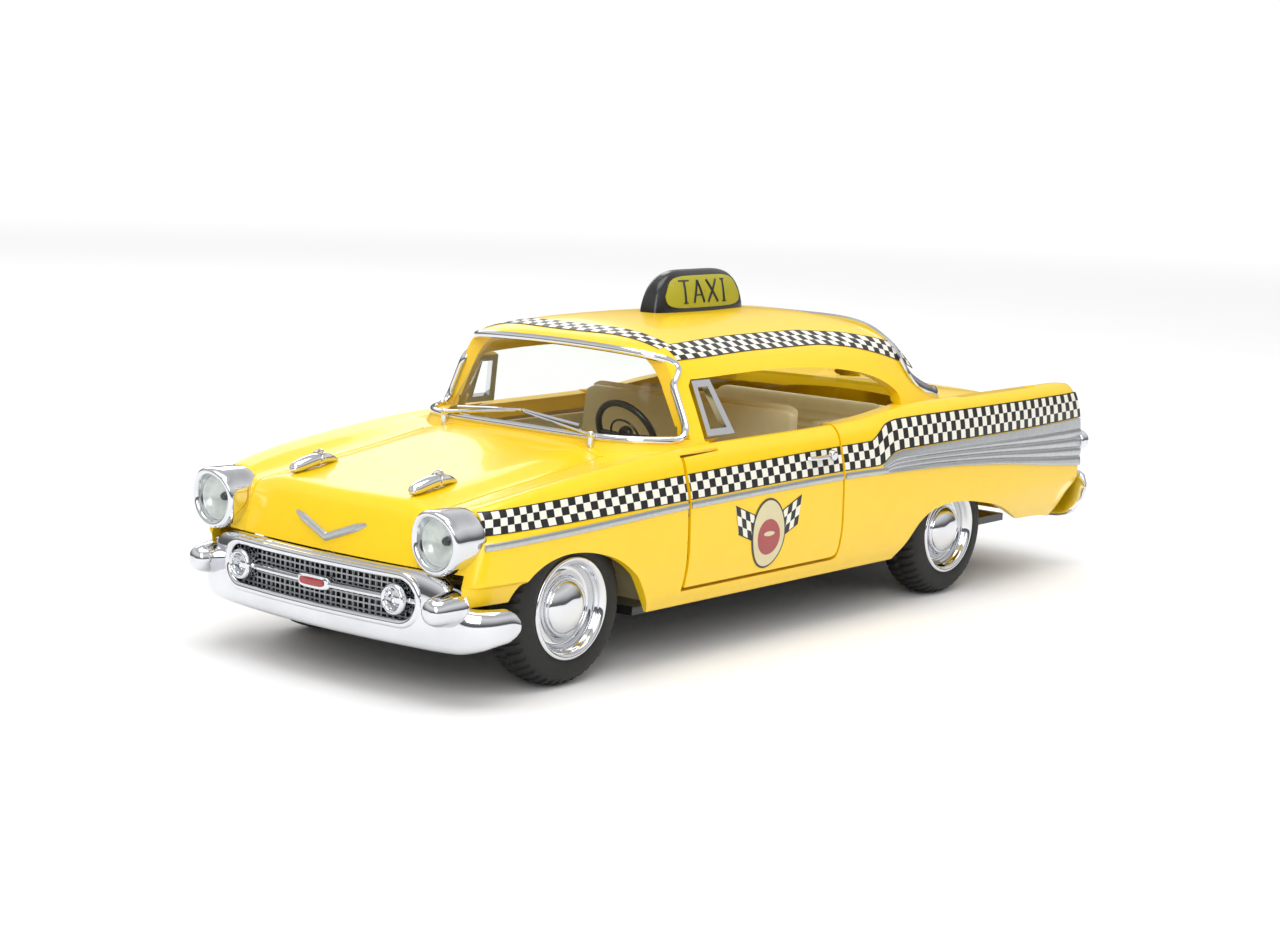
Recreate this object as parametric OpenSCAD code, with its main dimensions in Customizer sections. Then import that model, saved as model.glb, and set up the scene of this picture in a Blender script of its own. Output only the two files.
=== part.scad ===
// Five-inch diecast taxi coupe: two opening doors, free front wheels and a pull-back motor on the rear axle.
// Millimetres. X runs from the front bumper to the rear bumper, Y to the car's right, Z up from the ground.

/* [Overall] */
// Distance between the front and rear axles
wheelbase = 73.8; // [73:0.2:74.6]
// Front axle's distance ahead of the middle of the car
front_axle_ahead = 44.3; // [44:0.1:45]
// Half of the body's width at its widest
half_width = 22.7; // [22.6:0.1:23]
// Wall thickness of the body casting
wall = 1.0; // [0.9:0.1:1.1]

/* [Wheels] */
// Outer radius of a tyre
tyre_r = 8.6; // [8.4:0.1:8.7]
// Width of a tyre
tyre_w = 5.4; // [5:0.1:5.6]
// Radius of the bright rim
rim_r = 5.6; // [5.4:0.1:5.8]
// Distance from the car's middle to a tyre's outer face
tyre_face_y = 20.7; // [20.5:0.1:20.8]
// Radius of an axle
axle_r = 0.8; // [0.7:0.05:0.9]

/* [Doors] */
// Door's front edge at rest, behind the middle of the car
door_front_x = -27; // [-27.2:0.1:-26.8]
// Door's rear edge at rest
door_rear_x = 2; // [1.8:0.1:2.2]
// Gap round the rear and lower edges of a door
door_gap = 0.45; // [0.4:0.05:0.5]
// Gap at the hinged edge, which the outer skin turns through
hinge_gap = 0.75; // [0.7:0.05:0.8]
// Radius of a door's hinge pin
pin_r = 0.35; // [0.3:0.05:0.4]

/* [Roof sign] */
// Length of the roof sign at its base
sign_l = 19; // [18:0.5:20]
// Width of the roof sign at its base
sign_w = 4.2; // [4:0.1:4.6]
// Height of the roof sign above the roof
sign_h = 5; // [4.5:0.1:5.5]

/* [Motor] */
// Gear module of the pull-back motor
gear_m = 0.4; // [0.4:0.01:0.4]
// Teeth on the axle pinion and on the idler's pinion
pinion_teeth = 10; // [10:1:10]
// Teeth on the idler wheel and on the spring drum
wheel_teeth = 24; // [24:1:24]

/* [Hidden] */
$fn = 48;

front_axle_x = -front_axle_ahead;
rear_axle_x = front_axle_x + wheelbase;
clearance = 0.06;          // radial running clearance of an axle, arbor or pin
eps = 0.01;
far = 40;                  // past every side of the body
paint = "gold";
chrome = "silver";
tan = "wheat";

plate_z = 6;               // underside of the chassis plate
plate_t = 1;

// ---------------------------------------------------------------- body lines
// Each line is a list of [x, value]; lookup() reads between its points.
waist_line = [[-62, -2.1], [-56, -1.1], [-44, -0.4], [-25, -0.1], [10, 0], [28, 0.1], [42, -0.1], [55, -0.7], [62, -1.3]];
edge_line = [[-62, 10.5], [-53, 10.5], [-50, 6.5], [14, 6.5], [46, 8.2], [62, 7.2]];
trim_line = [[-62, 16.6], [-44, 17.4], [-27, 18.2], [12, 18.3], [36, 17], [62, 14.2]];
crown_line = [[-62, 19.6], [-58, 20.7], [-50, 21.8], [-40, 23], [-30, 23.9], [-20, 24.3], [0, 24.5], [8, 24.8],
    [16, 25.6], [24, 26], [40, 26.1], [56, 26], [62, 25.4]];
valley_line = [[-62, 19.2], [-58, 19.6], [-50, 20.6], [-40, 21.9], [-34, 22.8], [-28, 23.7], [20, 24.6], [36, 24.4],
    [50, 23.6], [62, 21.8]];
ridge_line = [[-62, 19.8], [-58, 20.5], [-53, 21.1], [-44, 22.3], [-34, 23.7], [-28, 24.4], [30, 25.4], [40, 25.2],
    [50, 24.4], [62, 22.3]];
middle_line = [[-62, 19.9], [-58, 20.4], [-53, 21], [-44, 22.2], [-34, 23.9], [-28, 24.7], [30, 25.8], [40, 25.5],
    [50, 24.7], [62, 22.6]];
tail_line = [[6.5, 56], [10.5, 59], [12.7, 61.7], [16, 62.1], [20, 62.2], [26, 61.2]];
stations = [-60, -57, -53, -50, -45, -40, -34, -28, -20, -10, 0, 8, 14, 20, 26, 33, 40, 46, 52, 57, 61];

function lerp(a, b, t) = a + (b - a) * t;
function flat(rows) = [for (row = rows) for (p = row) p];
function centre(ring) = ([for (p = ring) 1] * ring) / len(ring);
function sgn_pow(v, power) = sign(v) * pow(abs(v), power);

// Front face, bowed across the car and leaning forward towards the bumper, and the rear face.
function face_x(y, z) = -59.2 + 0.0035 * y * y - 0.29 * (19.7 - max(z, 12));
function tail_x(z) = lookup(z, tail_line);

// Half of the body's cross section at x, from the lower edge up the side and in to the middle.
function half_section(x, inset) =
    let (w = half_width + lookup(x, waist_line), e = lookup(x, edge_line), t = lookup(x, trim_line),
         c = lookup(x, crown_line), v = lookup(x, valley_line), i = inset)
    [[w - 1.6 - i, e], [w - 0.6 - i, e + 2], [w + 0.1 - i, 13], [w - i, t], [w - 0.6 - i, c - 3],
     [w - 1.2 - i, c - 1 - i], [w - 2.4 - i, c - i], [w - 4.2 - i, c - 0.3 - i], [14.2 - i, v - i],
     [9.4 - i, lookup(x, ridge_line) - i], [0, lookup(x, middle_line) - i]];

function place(x, p, inset) =
    let (ahead = max(0, 1 - (x - stations[0]) / 10), behind = max(0, 1 - (stations[len(stations) - 1] - x) / 8))
    [x + ahead * (face_x(p[0], p[1]) + inset - stations[0]) + behind * (tail_x(p[1]) - inset - 61), p[0], p[1]];

function body_ring(x, inset) =
    let (half = half_section(x, inset), n = len(half))
    concat([for (p = half) place(x, p, inset)],
           [for (k = [n - 2 : -1 : 0]) let (q = place(x, half[k], inset)) [q[0], -q[1], q[2]]]);

// Half width of the body's outer side at x and z, for what is fixed to the side.
function side_y(x, z) =
    let (half = half_section(x, 0)) lookup(z, [for (k = [0 : 6]) [half[k][1], half[k][0]]]);

// Closed solid through rings of equal length, with a fan over each end.
module skin(rings) {
    n = len(rings[0]);
    m = len(rings);
    polyhedron(
        concat(flat(rings), [centre(rings[0]), centre(rings[m - 1])]),
        concat(
            [for (i = [0 : m - 2], j = [0 : n - 1], half = [0, 1])
                half == 0 ? [i * n + j, (i + 1) * n + (j + 1) % n, i * n + (j + 1) % n]
                          : [i * n + j, (i + 1) * n + j, (i + 1) * n + (j + 1) % n]],
            [for (j = [0 : n - 1]) [n * m, j, (j + 1) % n]],
            [for (j = [0 : n - 1]) [n * m + 1, (m - 1) * n + (j + 1) % n, (m - 1) * n + j]]),
        convexity = 6);
}

// The body casting's wall, open below: outer surface and inner surface in one loop at each station.
// At both ends the inner surface closes in to a small arch, which leaves an end wall.
module body_tube() {
    last = len(stations) - 1;
    loops = [for (i = [0 : last])
        let (x = stations[i], end = i == 0 || i == last, inward = i == 0 ? 1.2 : -1.2,
             inner = [for (q = body_ring(x, wall)) end ? [x + inward, q[1] * 0.1, 11 + (q[2] - 11) * 0.1] : q])
        concat(body_ring(x, 0), [for (k = [len(inner) - 1 : -1 : 0]) inner[k]])];
    n = len(loops[0]);
    base = n * last;
    polyhedron(
        flat(loops),
        concat(
            [for (i = [0 : last - 1], j = [0 : n - 1], half = [0, 1])
                half == 0 ? [i * n + j, (i + 1) * n + (j + 1) % n, i * n + (j + 1) % n]
                          : [i * n + j, (i + 1) * n + j, (i + 1) * n + (j + 1) % n]],
            [for (j = [0 : n / 2 - 2], half = [0, 1])
                half == 0 ? [n - 1 - j, j, j + 1] : [n - 1 - j, j + 1, n - 2 - j]],
            [for (j = [0 : n / 2 - 2], half = [0, 1])
                half == 0 ? [base + n - 1 - j, base + j + 1, base + j]
                          : [base + n - 1 - j, base + n - 2 - j, base + j + 1]]),
        convexity = 6);
}

// ---------------------------------------------------------------- cabin lines
// Levels of the glasshouse: [front x, rear x, half width, side z, extra z at front and rear, squareness].
cabin_levels = [
    [-32.4, 37.6, 20.9, 23.2, 0, 5], [-31.5, 36, 20.4, 24.6, 0, 5], [-29, 30, 18.9, 29, 0.2, 5],
    [-26.6, 24.5, 17.2, 32.4, 0.9, 6], [-25.6, 22, 16.3, 33.4, 1.3, 6], [-23.6, 19.5, 14.6, 34.2, 1.5, 5],
    [-18, 15, 10.5, 35.7, 0.9, 4], [-9, 8, 5, 36.8, 0.2, 3]];
cabin_mid_x = 1.5;
cabin_sides = 44;

function cabin_point(level, angle, inset) =
    let (p = 2 / level[5], c = sgn_pow(cos(angle), p), s = sgn_pow(sin(angle), p),
         reach = (c < 0 ? cabin_mid_x - level[0] : level[1] - cabin_mid_x) - inset)
    [cabin_mid_x + reach * c, (level[2] - inset) * s, level[3] + level[4] * pow(cos(angle), 2)];

module cabin(inset, drop) {
    skin([for (level = cabin_levels)
        [for (k = [0 : cabin_sides - 1]) cabin_point(level, k * 360 / cabin_sides, inset) - [0, 0, drop]]]);
}

// Glasshouse wall as a cup turned upside down, from the inner dome down to the rim and up the outside.
module cabin_cup() {
    inner = [for (k = [len(cabin_levels) - 1 : -1 : 0]) cabin_levels[k]];
    skin(concat(
        [for (level = inner)
            [for (k = [0 : cabin_sides - 1]) cabin_point(level, k * 360 / cabin_sides, 1.1) - [0, 0, 1]]],
        [for (level = cabin_levels)
            [for (k = [0 : cabin_sides - 1]) cabin_point(level, k * 360 / cabin_sides, 0)]]));
}

// Side view outlines, as [x, z].
side_window = [[-21.4, 24.4], [-21.6, 31.2], [-12, 31.5], [-3, 31.5], [5, 31], [11.5, 30], [15.5, 28.7],
    [17.8, 27.2], [18, 25.8], [10, 25], [4, 24.6]];
front_arch = [[-53.9, 5], [-53.7, 11], [-52.6, 12.5], [-50.7, 13.9], [-48.7, 14.7], [-46.4, 15], [-43.7, 14.8],
    [-40.7, 14.1], [-38.5, 13.2], [-36.5, 11.9], [-35.1, 10.6], [-32.3, 6.7], [-31.5, 5]];
rear_arch = [[14.5, 5], [16.3, 7.3], [17.6, 8.8], [19.3, 10.8], [21.3, 12], [23.9, 12.6], [26.6, 12.8],
    [30.3, 12.6], [34.1, 12], [39.3, 10.9], [45.7, 8.4], [47, 7.9], [47, 5]];

// A side-view outline cut or filled right across the car between two distances from its middle.
module across(outline, from, to) {
    for (side = [-1, 1])
        translate([0, side * (from + to) / 2, 0])
            rotate([90, 0, 0])
                linear_extrude(to - from, center = true)
                    polygon(outline);
}

module on_both_sides() {
    children();
    mirror([0, 1, 0]) children();
}

hinge_x = door_front_x + 0.9;
hinge_y = 21.5;
lug_z = [12.4, 17];        // lower faces of the two hinge lugs
lug_t = 1.2;
door_inner_y = 19;
door_t = 1.8;
pillar_foot_y = 20.95;

// Side view of a door, grown by the gaps round it.
module door_outline(grow_front, grow_rear, grow_low) {
    polygon([[door_front_x - grow_front, 8.7 - grow_low], [door_rear_x - 1 + grow_rear, 8.7 - grow_low],
        [door_rear_x + grow_rear, 9.7 - grow_low], [door_rear_x + grow_rear, 27],
        [door_front_x - grow_front, 27]]);
}

// Room that a door takes on the right side; it steps outward round the foot of the windshield pillar.
module door_room(grow_front, grow_rear, grow_low, grow_in) {
    difference() {
        translate([0, (door_inner_y - grow_in + far) / 2, 0])
            rotate([90, 0, 0])
                linear_extrude(far - door_inner_y + grow_in, center = true)
                    door_outline(grow_front, grow_rear, grow_low);
        translate([-32, 0, 23.2 + grow_in]) cube([11.2, pillar_foot_y + 0.3 - grow_in, 10]);
        translate([-60, 0, 24.9]) cube([100, far, 30]);
    }
}

front_post_x = -35;        // posts that take the two chassis screws
rear_post_x = 44;
screw_r = 0.8;
head_light = [-60.6, 17.3, 17.2];
tail_light = [62.4, 20.6, 17.6];

module body_skin(inset) {
    skin([for (x = stations) body_ring(x, inset)]);
}

module post(x, top) {
    translate([x, 0, plate_z + plate_t + 0.05]) cylinder(h = top - plate_z - plate_t, r = 2);
}

module body_shell() color(paint) {
    difference() {
        union() {
            body_tube();
            cabin_cup();
            post(front_post_x, 22.5);
            post(rear_post_x, 24.6);
        }
        for (x = [front_post_x, rear_post_x]) translate([x, 0, 5]) cylinder(h = 9, r = screw_r);
        // Opening under the glasshouse.
        translate([0, 0, 20])
            linear_extrude(5.2)
                polygon([for (k = [0 : cabin_sides - 1])
                    let (q = cabin_point(cabin_levels[1], k * 360 / cabin_sides, 1.5)) [q[0], q[1]]]);
        translate([-20, -12, 20]) cube([48, 24, 6.2]);
        across(side_window, 10, far);
        // Windshield opening, ahead of the upright pillars.
        translate([-45, 0, 0]) rotate([90, 0, 90]) linear_extrude(21.6) windshield_outline(0);
        rear_window_cut(0);
        across(front_arch, 13, far);
        across(rear_arch, 13, far);
        // Nose cut back for the grille and bumper.
        translate([-70, -19.5, 0]) cube([13, 39, 13.9]);
        on_both_sides() {
            door_room(hinge_gap, door_gap, door_gap, 0.3);
            translate([-70, head_light[1], head_light[2]]) rotate([0, 90, 0]) cylinder(h = 13.2, r = 3.05);
            translate([-70, head_light[1], head_light[2]]) rotate([0, 90, 0]) cylinder(h = 11, r = 3.5);
            translate([61.2, tail_light[1], tail_light[2]]) rotate([0, 90, 0]) cylinder(h = 5, r = 1.45);
        }
    }
}

module windshield_outline(grow) {
    g = grow;
    polygon([[-21.5 - g, 24.75 - g], [-20 - g, 29], [-16 - g, 33.1 + g], [-13.5, 33.8 + g], [0, 34.4 + g],
        [13.5, 33.8 + g], [16 + g, 33.1 + g], [20 + g, 29], [21.5 + g, 24.75 - g]]);
}

module rear_window_cut(grow) {
    rotate([90, 0, 0])
        linear_extrude(2 * far, center = true)
            polygon([[21.4 - grow, 40], [21.4 - grow, 32], [22.6 - grow, 29], [30.4 - grow, 25.9 - grow],
                [50, 25.9 - grow], [50, 40]]);
}

// ---------------------------------------------------------------- glass and its frames
module windshield() color("lightcyan") {
    intersection() {
        difference() {
            cabin(1.15, 1.05);
            cabin(1.75, 1.65);
        }
        translate([-45, -far, 24.85]) cube([22.2, 2 * far, 20]);
    }
}

module rear_window() color("lightcyan") {
    intersection() {
        difference() {
            cabin(1.15, 1.05);
            cabin(1.75, 1.65);
        }
        translate([20.2, -far, 25.95]) cube([20, 2 * far, 20]);
    }
}

module windshield_frame() color(chrome) {
    difference() {
        cabin(-0.3, -0.3);
        cabin(-0.02, -0.02);
        translate([-60, -far, 0]) cube([100, 2 * far, 24.75]);
        translate([-22.6, -far, 0]) cube([100, 2 * far, 60]);
        translate([-50, 0, 0]) rotate([90, 0, 90]) linear_extrude(26.6) windshield_outline(0);
        translate([-50, 0, 0])
            rotate([90, 0, 90])
                linear_extrude(40)
                    difference() {
                        translate([-far, 0]) square([2 * far, 60]);
                        windshield_outline(0.8);
                    }
    }
}

module rear_window_trim() color(chrome) {
    difference() {
        cabin(-0.3, -0.3);
        cabin(-0.02, -0.02);
        body_skin(-0.02);
        rear_window_cut(0);
        rotate([90, 0, 0])
            linear_extrude(2 * far, center = true)
                polygon([[-60, 0], [70, 0], [70, 25.2], [30, 25.2], [27.3, 25.2], [20.6, 28.6], [19.6, 31.6],
                    [19.6, 60], [-60, 60]]);
    }
}

// A wiper low across the windshield, from its post on the cowl to the middle of the car.
module wiper(side) {
    difference() {
        union() {
            translate([-31.6, side * 11.5, 23]) cylinder(h = 2, r = 0.4, $fn = 16);
            hull() {
                translate([-31.6, side * 11.5, 25]) sphere(0.45, $fn = 16);
                translate([-31, side * 6, 25.9]) sphere(0.25, $fn = 12);
            }
            hull() {
                translate([-31.25, side * 9.4, 25.6]) sphere(0.22, $fn = 12);
                translate([-30.75, side * 0.8, 26.3]) sphere(0.22, $fn = 12);
            }
        }
        cabin(-0.02, -0.02);
        body_skin(-0.02);
    }
}

module wiper_left() color(chrome) wiper(-1);
module wiper_right() color(chrome) wiper(1);

// ---------------------------------------------------------------- front
nose_plan = [[-62.6, 0], [-62.4, 6], [-61.9, 12], [-61.2, 17], [-60, 20.3], [-57.8, 22.3], [-54.6, 23.2]];

// Band that follows the nose from one side to the other, set back and of the given depth.
module nose_band(back, depth, low, high) {
    plan = concat([for (k = [len(nose_plan) - 1 : -1 : 1]) [nose_plan[k][0], -nose_plan[k][1]]], nose_plan);
    inner = [for (p = plan) [p[0] + back + depth, p[1] * (1 - 0.012 * depth)]];
    translate([0, 0, low])
        linear_extrude(high - low)
            polygon(concat([for (p = plan) [p[0] + back, p[1]]], [for (k = [len(inner) - 1 : -1 : 0]) inner[k]]));
}

module grille_outline(grow) {
    hull()
        for (side = [-1, 1]) translate([side * 12.4, 10.6]) circle(2.3 + grow);
}

module front_bumper() color(chrome) {
    difference() {
        union() {
            intersection() {
                nose_band(0, 2.4, 5.6, 13.8);
                translate([-70, 0, 0])
                    rotate([90, 0, 90])
                        linear_extrude(20)
                            polygon([[-14, 13.8], [14, 13.8], [17.5, 13.1], [19.4, 11.8], [19.4, 10.3],
                                [24, 10.3], [24, 6.8], [20, 5.6], [-20, 5.6], [-24, 6.8], [-24, 10.3],
                                [-19.4, 10.3], [-19.4, 11.8], [-17.5, 13.1]]);
            }
            on_both_sides()
                translate([-59.6, 18.3, 10.35])
                    rotate([0, -90, 0]) {
                        cylinder(h = 2.8, r1 = 1.9, r2 = 1.5);
                        translate([0, 0, 2.8]) scale([1, 1, 0.8]) sphere(1.5);
                    }
        }
        translate([-70, 0, 0]) rotate([90, 0, 90]) linear_extrude(20) grille_outline(0);
    }
}

module grille_insert() color("dimgray") {
    intersection() {
        nose_band(1.3, 0.8, 5.6, 13.8);
        translate([-70, 0, 0]) rotate([90, 0, 90]) linear_extrude(20) grille_outline(-0.05);
    }
}

module grille_bar() color(chrome) {
    difference() {
        union() {
            intersection() {
                nose_band(0.1, 1.1, 10.25, 11.05);
                translate([-70, -14.4, 0]) cube([20, 28.8, 20]);
            }
            on_both_sides()
                translate([-60.75, 12, 10.65]) rotate([0, -90, 0]) cylinder(h = 1.5, r = 1.7);
            translate([-62.7, -2.2, 9.95]) cube([1.1, 4.4, 1.4]);
        }
        on_both_sides()
            translate([-61.6, 12, 10.65]) rotate([0, -90, 0]) cylinder(h = 2, r = 1.1);
    }
}

module headlight_bezel(side) {
    translate([0, side * head_light[1], head_light[2]])
        rotate([0, 90, 0])
            rotate_extrude()
                polygon([[2.2, head_light[0] + 0.4], [2.6, head_light[0] - 0.3], [3.2, head_light[0] - 0.2],
                    [3.4, head_light[0] + 0.3], [3.4, -59.1], [3, -58.9], [3, -57.2], [2.2, -57.2]]);
}

module headlight_lens(side) {
    translate([0, side * head_light[1], head_light[2]])
        rotate([0, 90, 0])
            rotate_extrude()
                polygon([[0, -61.3], [0.8, -61.2], [1.5, -60.9], [2, -60.5], [2.17, -60.1], [2.17, -58.2],
                    [0, -58.2]]);
}

module headlight_bezel_left() color(chrome) headlight_bezel(-1);
module headlight_bezel_right() color(chrome) headlight_bezel(1);
module headlight_lens_left() color("whitesmoke") headlight_lens(-1);
module headlight_lens_right() color("whitesmoke") headlight_lens(1);

module hood_ornaments() color(chrome) {
    difference() {
        on_both_sides()
            hull() {
                translate([-57.3, 9.3, 20.9]) sphere(0.55, $fn = 16);
                translate([-54.2, 9.3, 21.9]) sphere(0.75, $fn = 16);
                translate([-50.2, 9.3, 21.6]) sphere(0.3, $fn = 12);
            }
        body_skin(-0.02);
    }
}

module hood_trim() color(chrome) {
    difference() {
        on_both_sides()
            hull() {
                translate([-61.4, 0.2, 15.2]) sphere(0.5, $fn = 12);
                translate([-61, 5.3, 17.1]) sphere(0.45, $fn = 12);
            }
        body_skin(-0.02);
    }
}

// ---------------------------------------------------------------- rear
module rear_bumper() color(chrome) {
    intersection() {
        rotate([90, 0, 0])
            linear_extrude(46, center = true)
                polygon([[61.9, 13], [62.4, 13.7], [63.2, 13.7], [63.6, 13], [63.6, 11.8], [62.9, 10], [61.4, 7.8],
                    [60.2, 6.9], [59.2, 7.2], [60.6, 9.8], [61.8, 11.9]]);
        translate([0, 0, 5])
            linear_extrude(10)
                polygon([[50, -22.8], [61.6, -22.8], [63, -22.2], [63.6, -20.4], [63.6, 20.4], [63, 22.2],
                    [61.6, 22.8], [50, 22.8]]);
    }
}

module tail_light(side) {
    translate([0, side * tail_light[1], tail_light[2]])
        rotate([0, 90, 0])
            rotate_extrude()
                polygon([[0, 61.4], [1.4, 61.4], [1.4, 62.4], [1.3, 62.8], [0.9, 63.2], [0, 63.4]]);
}

module tail_light_left() color("red") tail_light(-1);
module tail_light_right() color("red") tail_light(1);

// ---------------------------------------------------------------- roof sign
sign_at = [-0.3, -0.2, 0];
sign_turn = 3;

// Loaf-shaped housing: sides and ends lean inward and the upper corners are round.
module sign_loaf() {
    hull() {
        translate([0, 0, 36.3]) slab(sign_l, sign_w, 1.2, 0.8);
        translate([0, 0, 39]) slab(sign_l - 2, sign_w - 1, 1.2, 0.1);
        translate([0, 0, 40.9]) slab(sign_l - 4.6, sign_w - 1.9, 1, 0.1);
        translate([0, 0, 36.9 + sign_h]) slab(sign_l - 7.4, sign_w - 2.9, 0.6, 0.1);
    }
}

module slab(length, width, r, h) {
    for (x = [-1, 1], y = [-1, 1])
        translate([x * (length / 2 - r), y * (width / 2 - r), 0]) cylinder(h = h, r = r, $fn = 20);
}

module sign_panel(side) {
    translate(sign_at)
        rotate([0, 0, sign_turn])
            translate([0, side * (sign_w / 2 - 0.05), 37.5])
                rotate([side * 17.5 + 90, 0, 0])
                    linear_extrude(0.3, center = true)
                        polygon([[-sign_l / 2 + 1, 0.2], [-sign_l / 2 + 1.7, 2], [-sign_l / 2 + 2.9, 3.6],
                            [-sign_l / 2 + 4.3, 3.9], [sign_l / 2 - 4.3, 3.9], [sign_l / 2 - 2.9, 3.6],
                            [sign_l / 2 - 1.7, 2], [sign_l / 2 - 1, 0.2]]);
}

module sign_housing() color("black") {
    difference() {
        translate(sign_at) rotate([0, 0, sign_turn]) sign_loaf();
        cabin(-0.02, -0.02);
        sign_panel(-1);
        sign_panel(1);
    }
}

module sign_panel_left() color("olive") sign_panel(-1);
module sign_panel_right() color("olive") sign_panel(1);

// ---------------------------------------------------------------- doors
module hinge_hole(low, high, r) {
    translate([hinge_x, hinge_y, low]) cylinder(h = high - low, r = r);
}

module door() {
    difference() {
        intersection() {
            difference() {
                body_skin(0);
                body_skin(door_t);
            }
            door_room(0, 0, 0, 0);
        }
        // Pockets for the hinge lugs, open towards the cabin.
        for (z = lug_z)
            translate([hinge_x - 2, hinge_y - 4, z - 0.35]) cube([2.95, 4.85, lug_t + 0.7]);
        hinge_hole(lug_z[0], lug_z[1] + 1, pin_r + clearance);
    }
}

module door_right() color(paint) door();
module door_left() color(paint) mirror([0, 1, 0]) door();

module hinge_pin() hinge_hole(lug_z[0] - 0.1, lug_z[1] + lug_t + 0.1, pin_r);
module hinge_pin_right() color("silver") hinge_pin();
module hinge_pin_left() color("silver") mirror([0, 1, 0]) hinge_pin();

handle_x = -2;
handle_z = 21.2;

module door_handle() {
    y = side_y(handle_x, handle_z);
    for (x = [handle_x - 1.9, handle_x + 1.9])
        translate([x, y + 0.35, handle_z]) rotate([-90, 0, 0]) cylinder(h = 0.6, r = 0.4);
    translate([handle_x - 2.6, y + 0.85, handle_z]) rotate([0, 90, 0]) cylinder(h = 5.2, r = 0.38);
    translate([handle_x + 1.9, y + 0.65, handle_z]) rotate([-90, 0, 0]) cylinder(h = 0.75, r = 0.62);
}

module door_handle_right() color(chrome) door_handle();
module door_handle_left() color(chrome) mirror([0, 1, 0]) door_handle();

// Quarter-light frame that stands on the door's upper edge and leans in with the pillar.
module vent_frame() {
    translate([0, 19.35, 24.2])
        rotate([22, 0, 0])
            rotate([90, 0, 0])
                linear_extrude(0.8, center = true)
                    difference() {
                        polygon([[-20.6, 0.6], [-20.9, 7.2], [-17.6, 7.2], [-15.6, 0.6]]);
                        polygon([[-19.8, 1.4], [-20.1, 6.4], [-18.3, 6.4], [-16.8, 1.4]]);
                    }
}

module vent_frame_right() color(chrome) vent_frame();
module vent_frame_left() color(chrome) mirror([0, 1, 0]) vent_frame();

// ---------------------------------------------------------------- cabin
tub_z = plate_z + plate_t + 0.05;
floor_t = 0.9;
step_x = 7.6;              // where the floor climbs over the motor
step_z = 16.3;

module interior_tub() color(tan) {
    difference() {
        union() {
            translate([-30, -18.4, tub_z]) cube([step_x + 30, 36.8, 22 - tub_z]);
            translate([step_x - eps, -14.6, step_z]) cube([22, 29.2, 7.4]);
            on_both_sides()
                for (z = lug_z) {
                    translate([hinge_x, hinge_y, z]) cylinder(h = lug_t, r = 0.7);
                    translate([hinge_x - 0.65, 18, z]) cube([1.3, 3.5, lug_t]);
                }
        }
        translate([-29, -17.5, tub_z + floor_t]) cube([step_x + 28, 35, 40]);
        translate([step_x - 2, -13.7, step_z + floor_t]) cube([22.7, 27.4, 40]);
        on_both_sides() hinge_hole(5, 25, pin_r + 0.02);
    }
}

module seat_row(x, base_z, cushion_h, back_h, half) {
    translate([x, 0, 0]) {
        translate([0, 0, base_z])
            rotate([90, 0, 0])
                linear_extrude(2 * half, center = true)
                    polygon([[0, 0], [0, cushion_h - 0.6], [0.6, cushion_h], [6.6, cushion_h - 0.5],
                        [8.2, back_h - 0.6], [8.9, back_h], [10, back_h - 0.4], [9.4, 0]]);
    }
}

module front_seat() color(tan) {
    difference() {
        seat_row(-9, tub_z + floor_t + 0.05, 6.4, 17.9, 16.4);
        translate([-20, -0.5, 15.5]) cube([40, 1, 20]);
    }
}

module rear_seat() color(tan) seat_row(14.5, 17.25, 2.4, 7.4, 13.2);

module dashboard() color(tan) {
    difference() {
        intersection() {
            rotate([90, 0, 0])
                linear_extrude(34.8, center = true)
                    polygon([[-28.9, 14], [-28.9, 22.6], [-26, 23.4], [-22.6, 23.2], [-21.6, 22.2], [-22, 20.6],
                        [-24, 20], [-25.4, 14]]);
            // Its upper edge keeps inside the opening under the glasshouse.
            union() {
                translate([-40, -20, 10]) cube([40, 40, 12.3]);
                linear_extrude(30)
                    polygon([for (k = [0 : cabin_sides - 1])
                        let (q = cabin_point(cabin_levels[1], k * 360 / cabin_sides, 1.9)) [q[0], q[1]]]);
            }
        }
        translate([-26, -8, 21.7]) rotate([0, 75, 0]) cylinder(h = 20, r = 0.62);
    }
}

module steering_wheel() color("black") {
    translate([-26, -8, 21.7])
        rotate([0, 75, 0]) {
            cylinder(h = 8.4, r = 0.6);
            translate([0, 0, 8.2]) cylinder(h = 0.7, r = 1.1);
            translate([0, 0, 8.5]) rotate_extrude() translate([4.1, 0]) circle(0.45);
            translate([-0.3, -4.1, 8.3]) cube([0.6, 8.2, 0.45]);
        }
}

// ---------------------------------------------------------------- chassis and wheels
motor_x = [9.5, 33.5];
motor_z = [3.5, 16];
motor_wall = 0.7;
motor_y = 8;

module bearing(x, y) {
    translate([x - 2, y - 1, plate_z]) cube([4, 2, 3.6]);
    translate([x, y + 1, 8.6]) rotate([90, 0, 0]) cylinder(h = 2, r = 2);
}

module chassis() color("dimgray") {
    difference() {
        union() {
            linear_extrude(plate_t + plate_z) plate_outline();
            for (x = [front_axle_x, rear_axle_x], y = [-12, 12]) bearing(x, y);
        }
        translate([0, 0, -1]) cube([300, 300, 2 * (plate_z + 1)], center = true);
        for (x = [front_axle_x, rear_axle_x])
            translate([x, 0, 8.6]) rotate([90, 0, 0]) cylinder(h = 60, r = axle_r + clearance, center = true);
        translate([motor_x[0] - 0.1, -motor_y - 0.1, 0])
            cube([motor_x[1] - motor_x[0] + 0.2, 2 * motor_y + 0.2, 20]);
        for (x = [front_post_x, rear_post_x]) {
            translate([x, 0, 0]) cylinder(h = 10, r = screw_r + 0.1);
            translate([x, 0, 0]) cylinder(h = plate_z + 0.5, r = 1.7);
        }
    }
}

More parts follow.
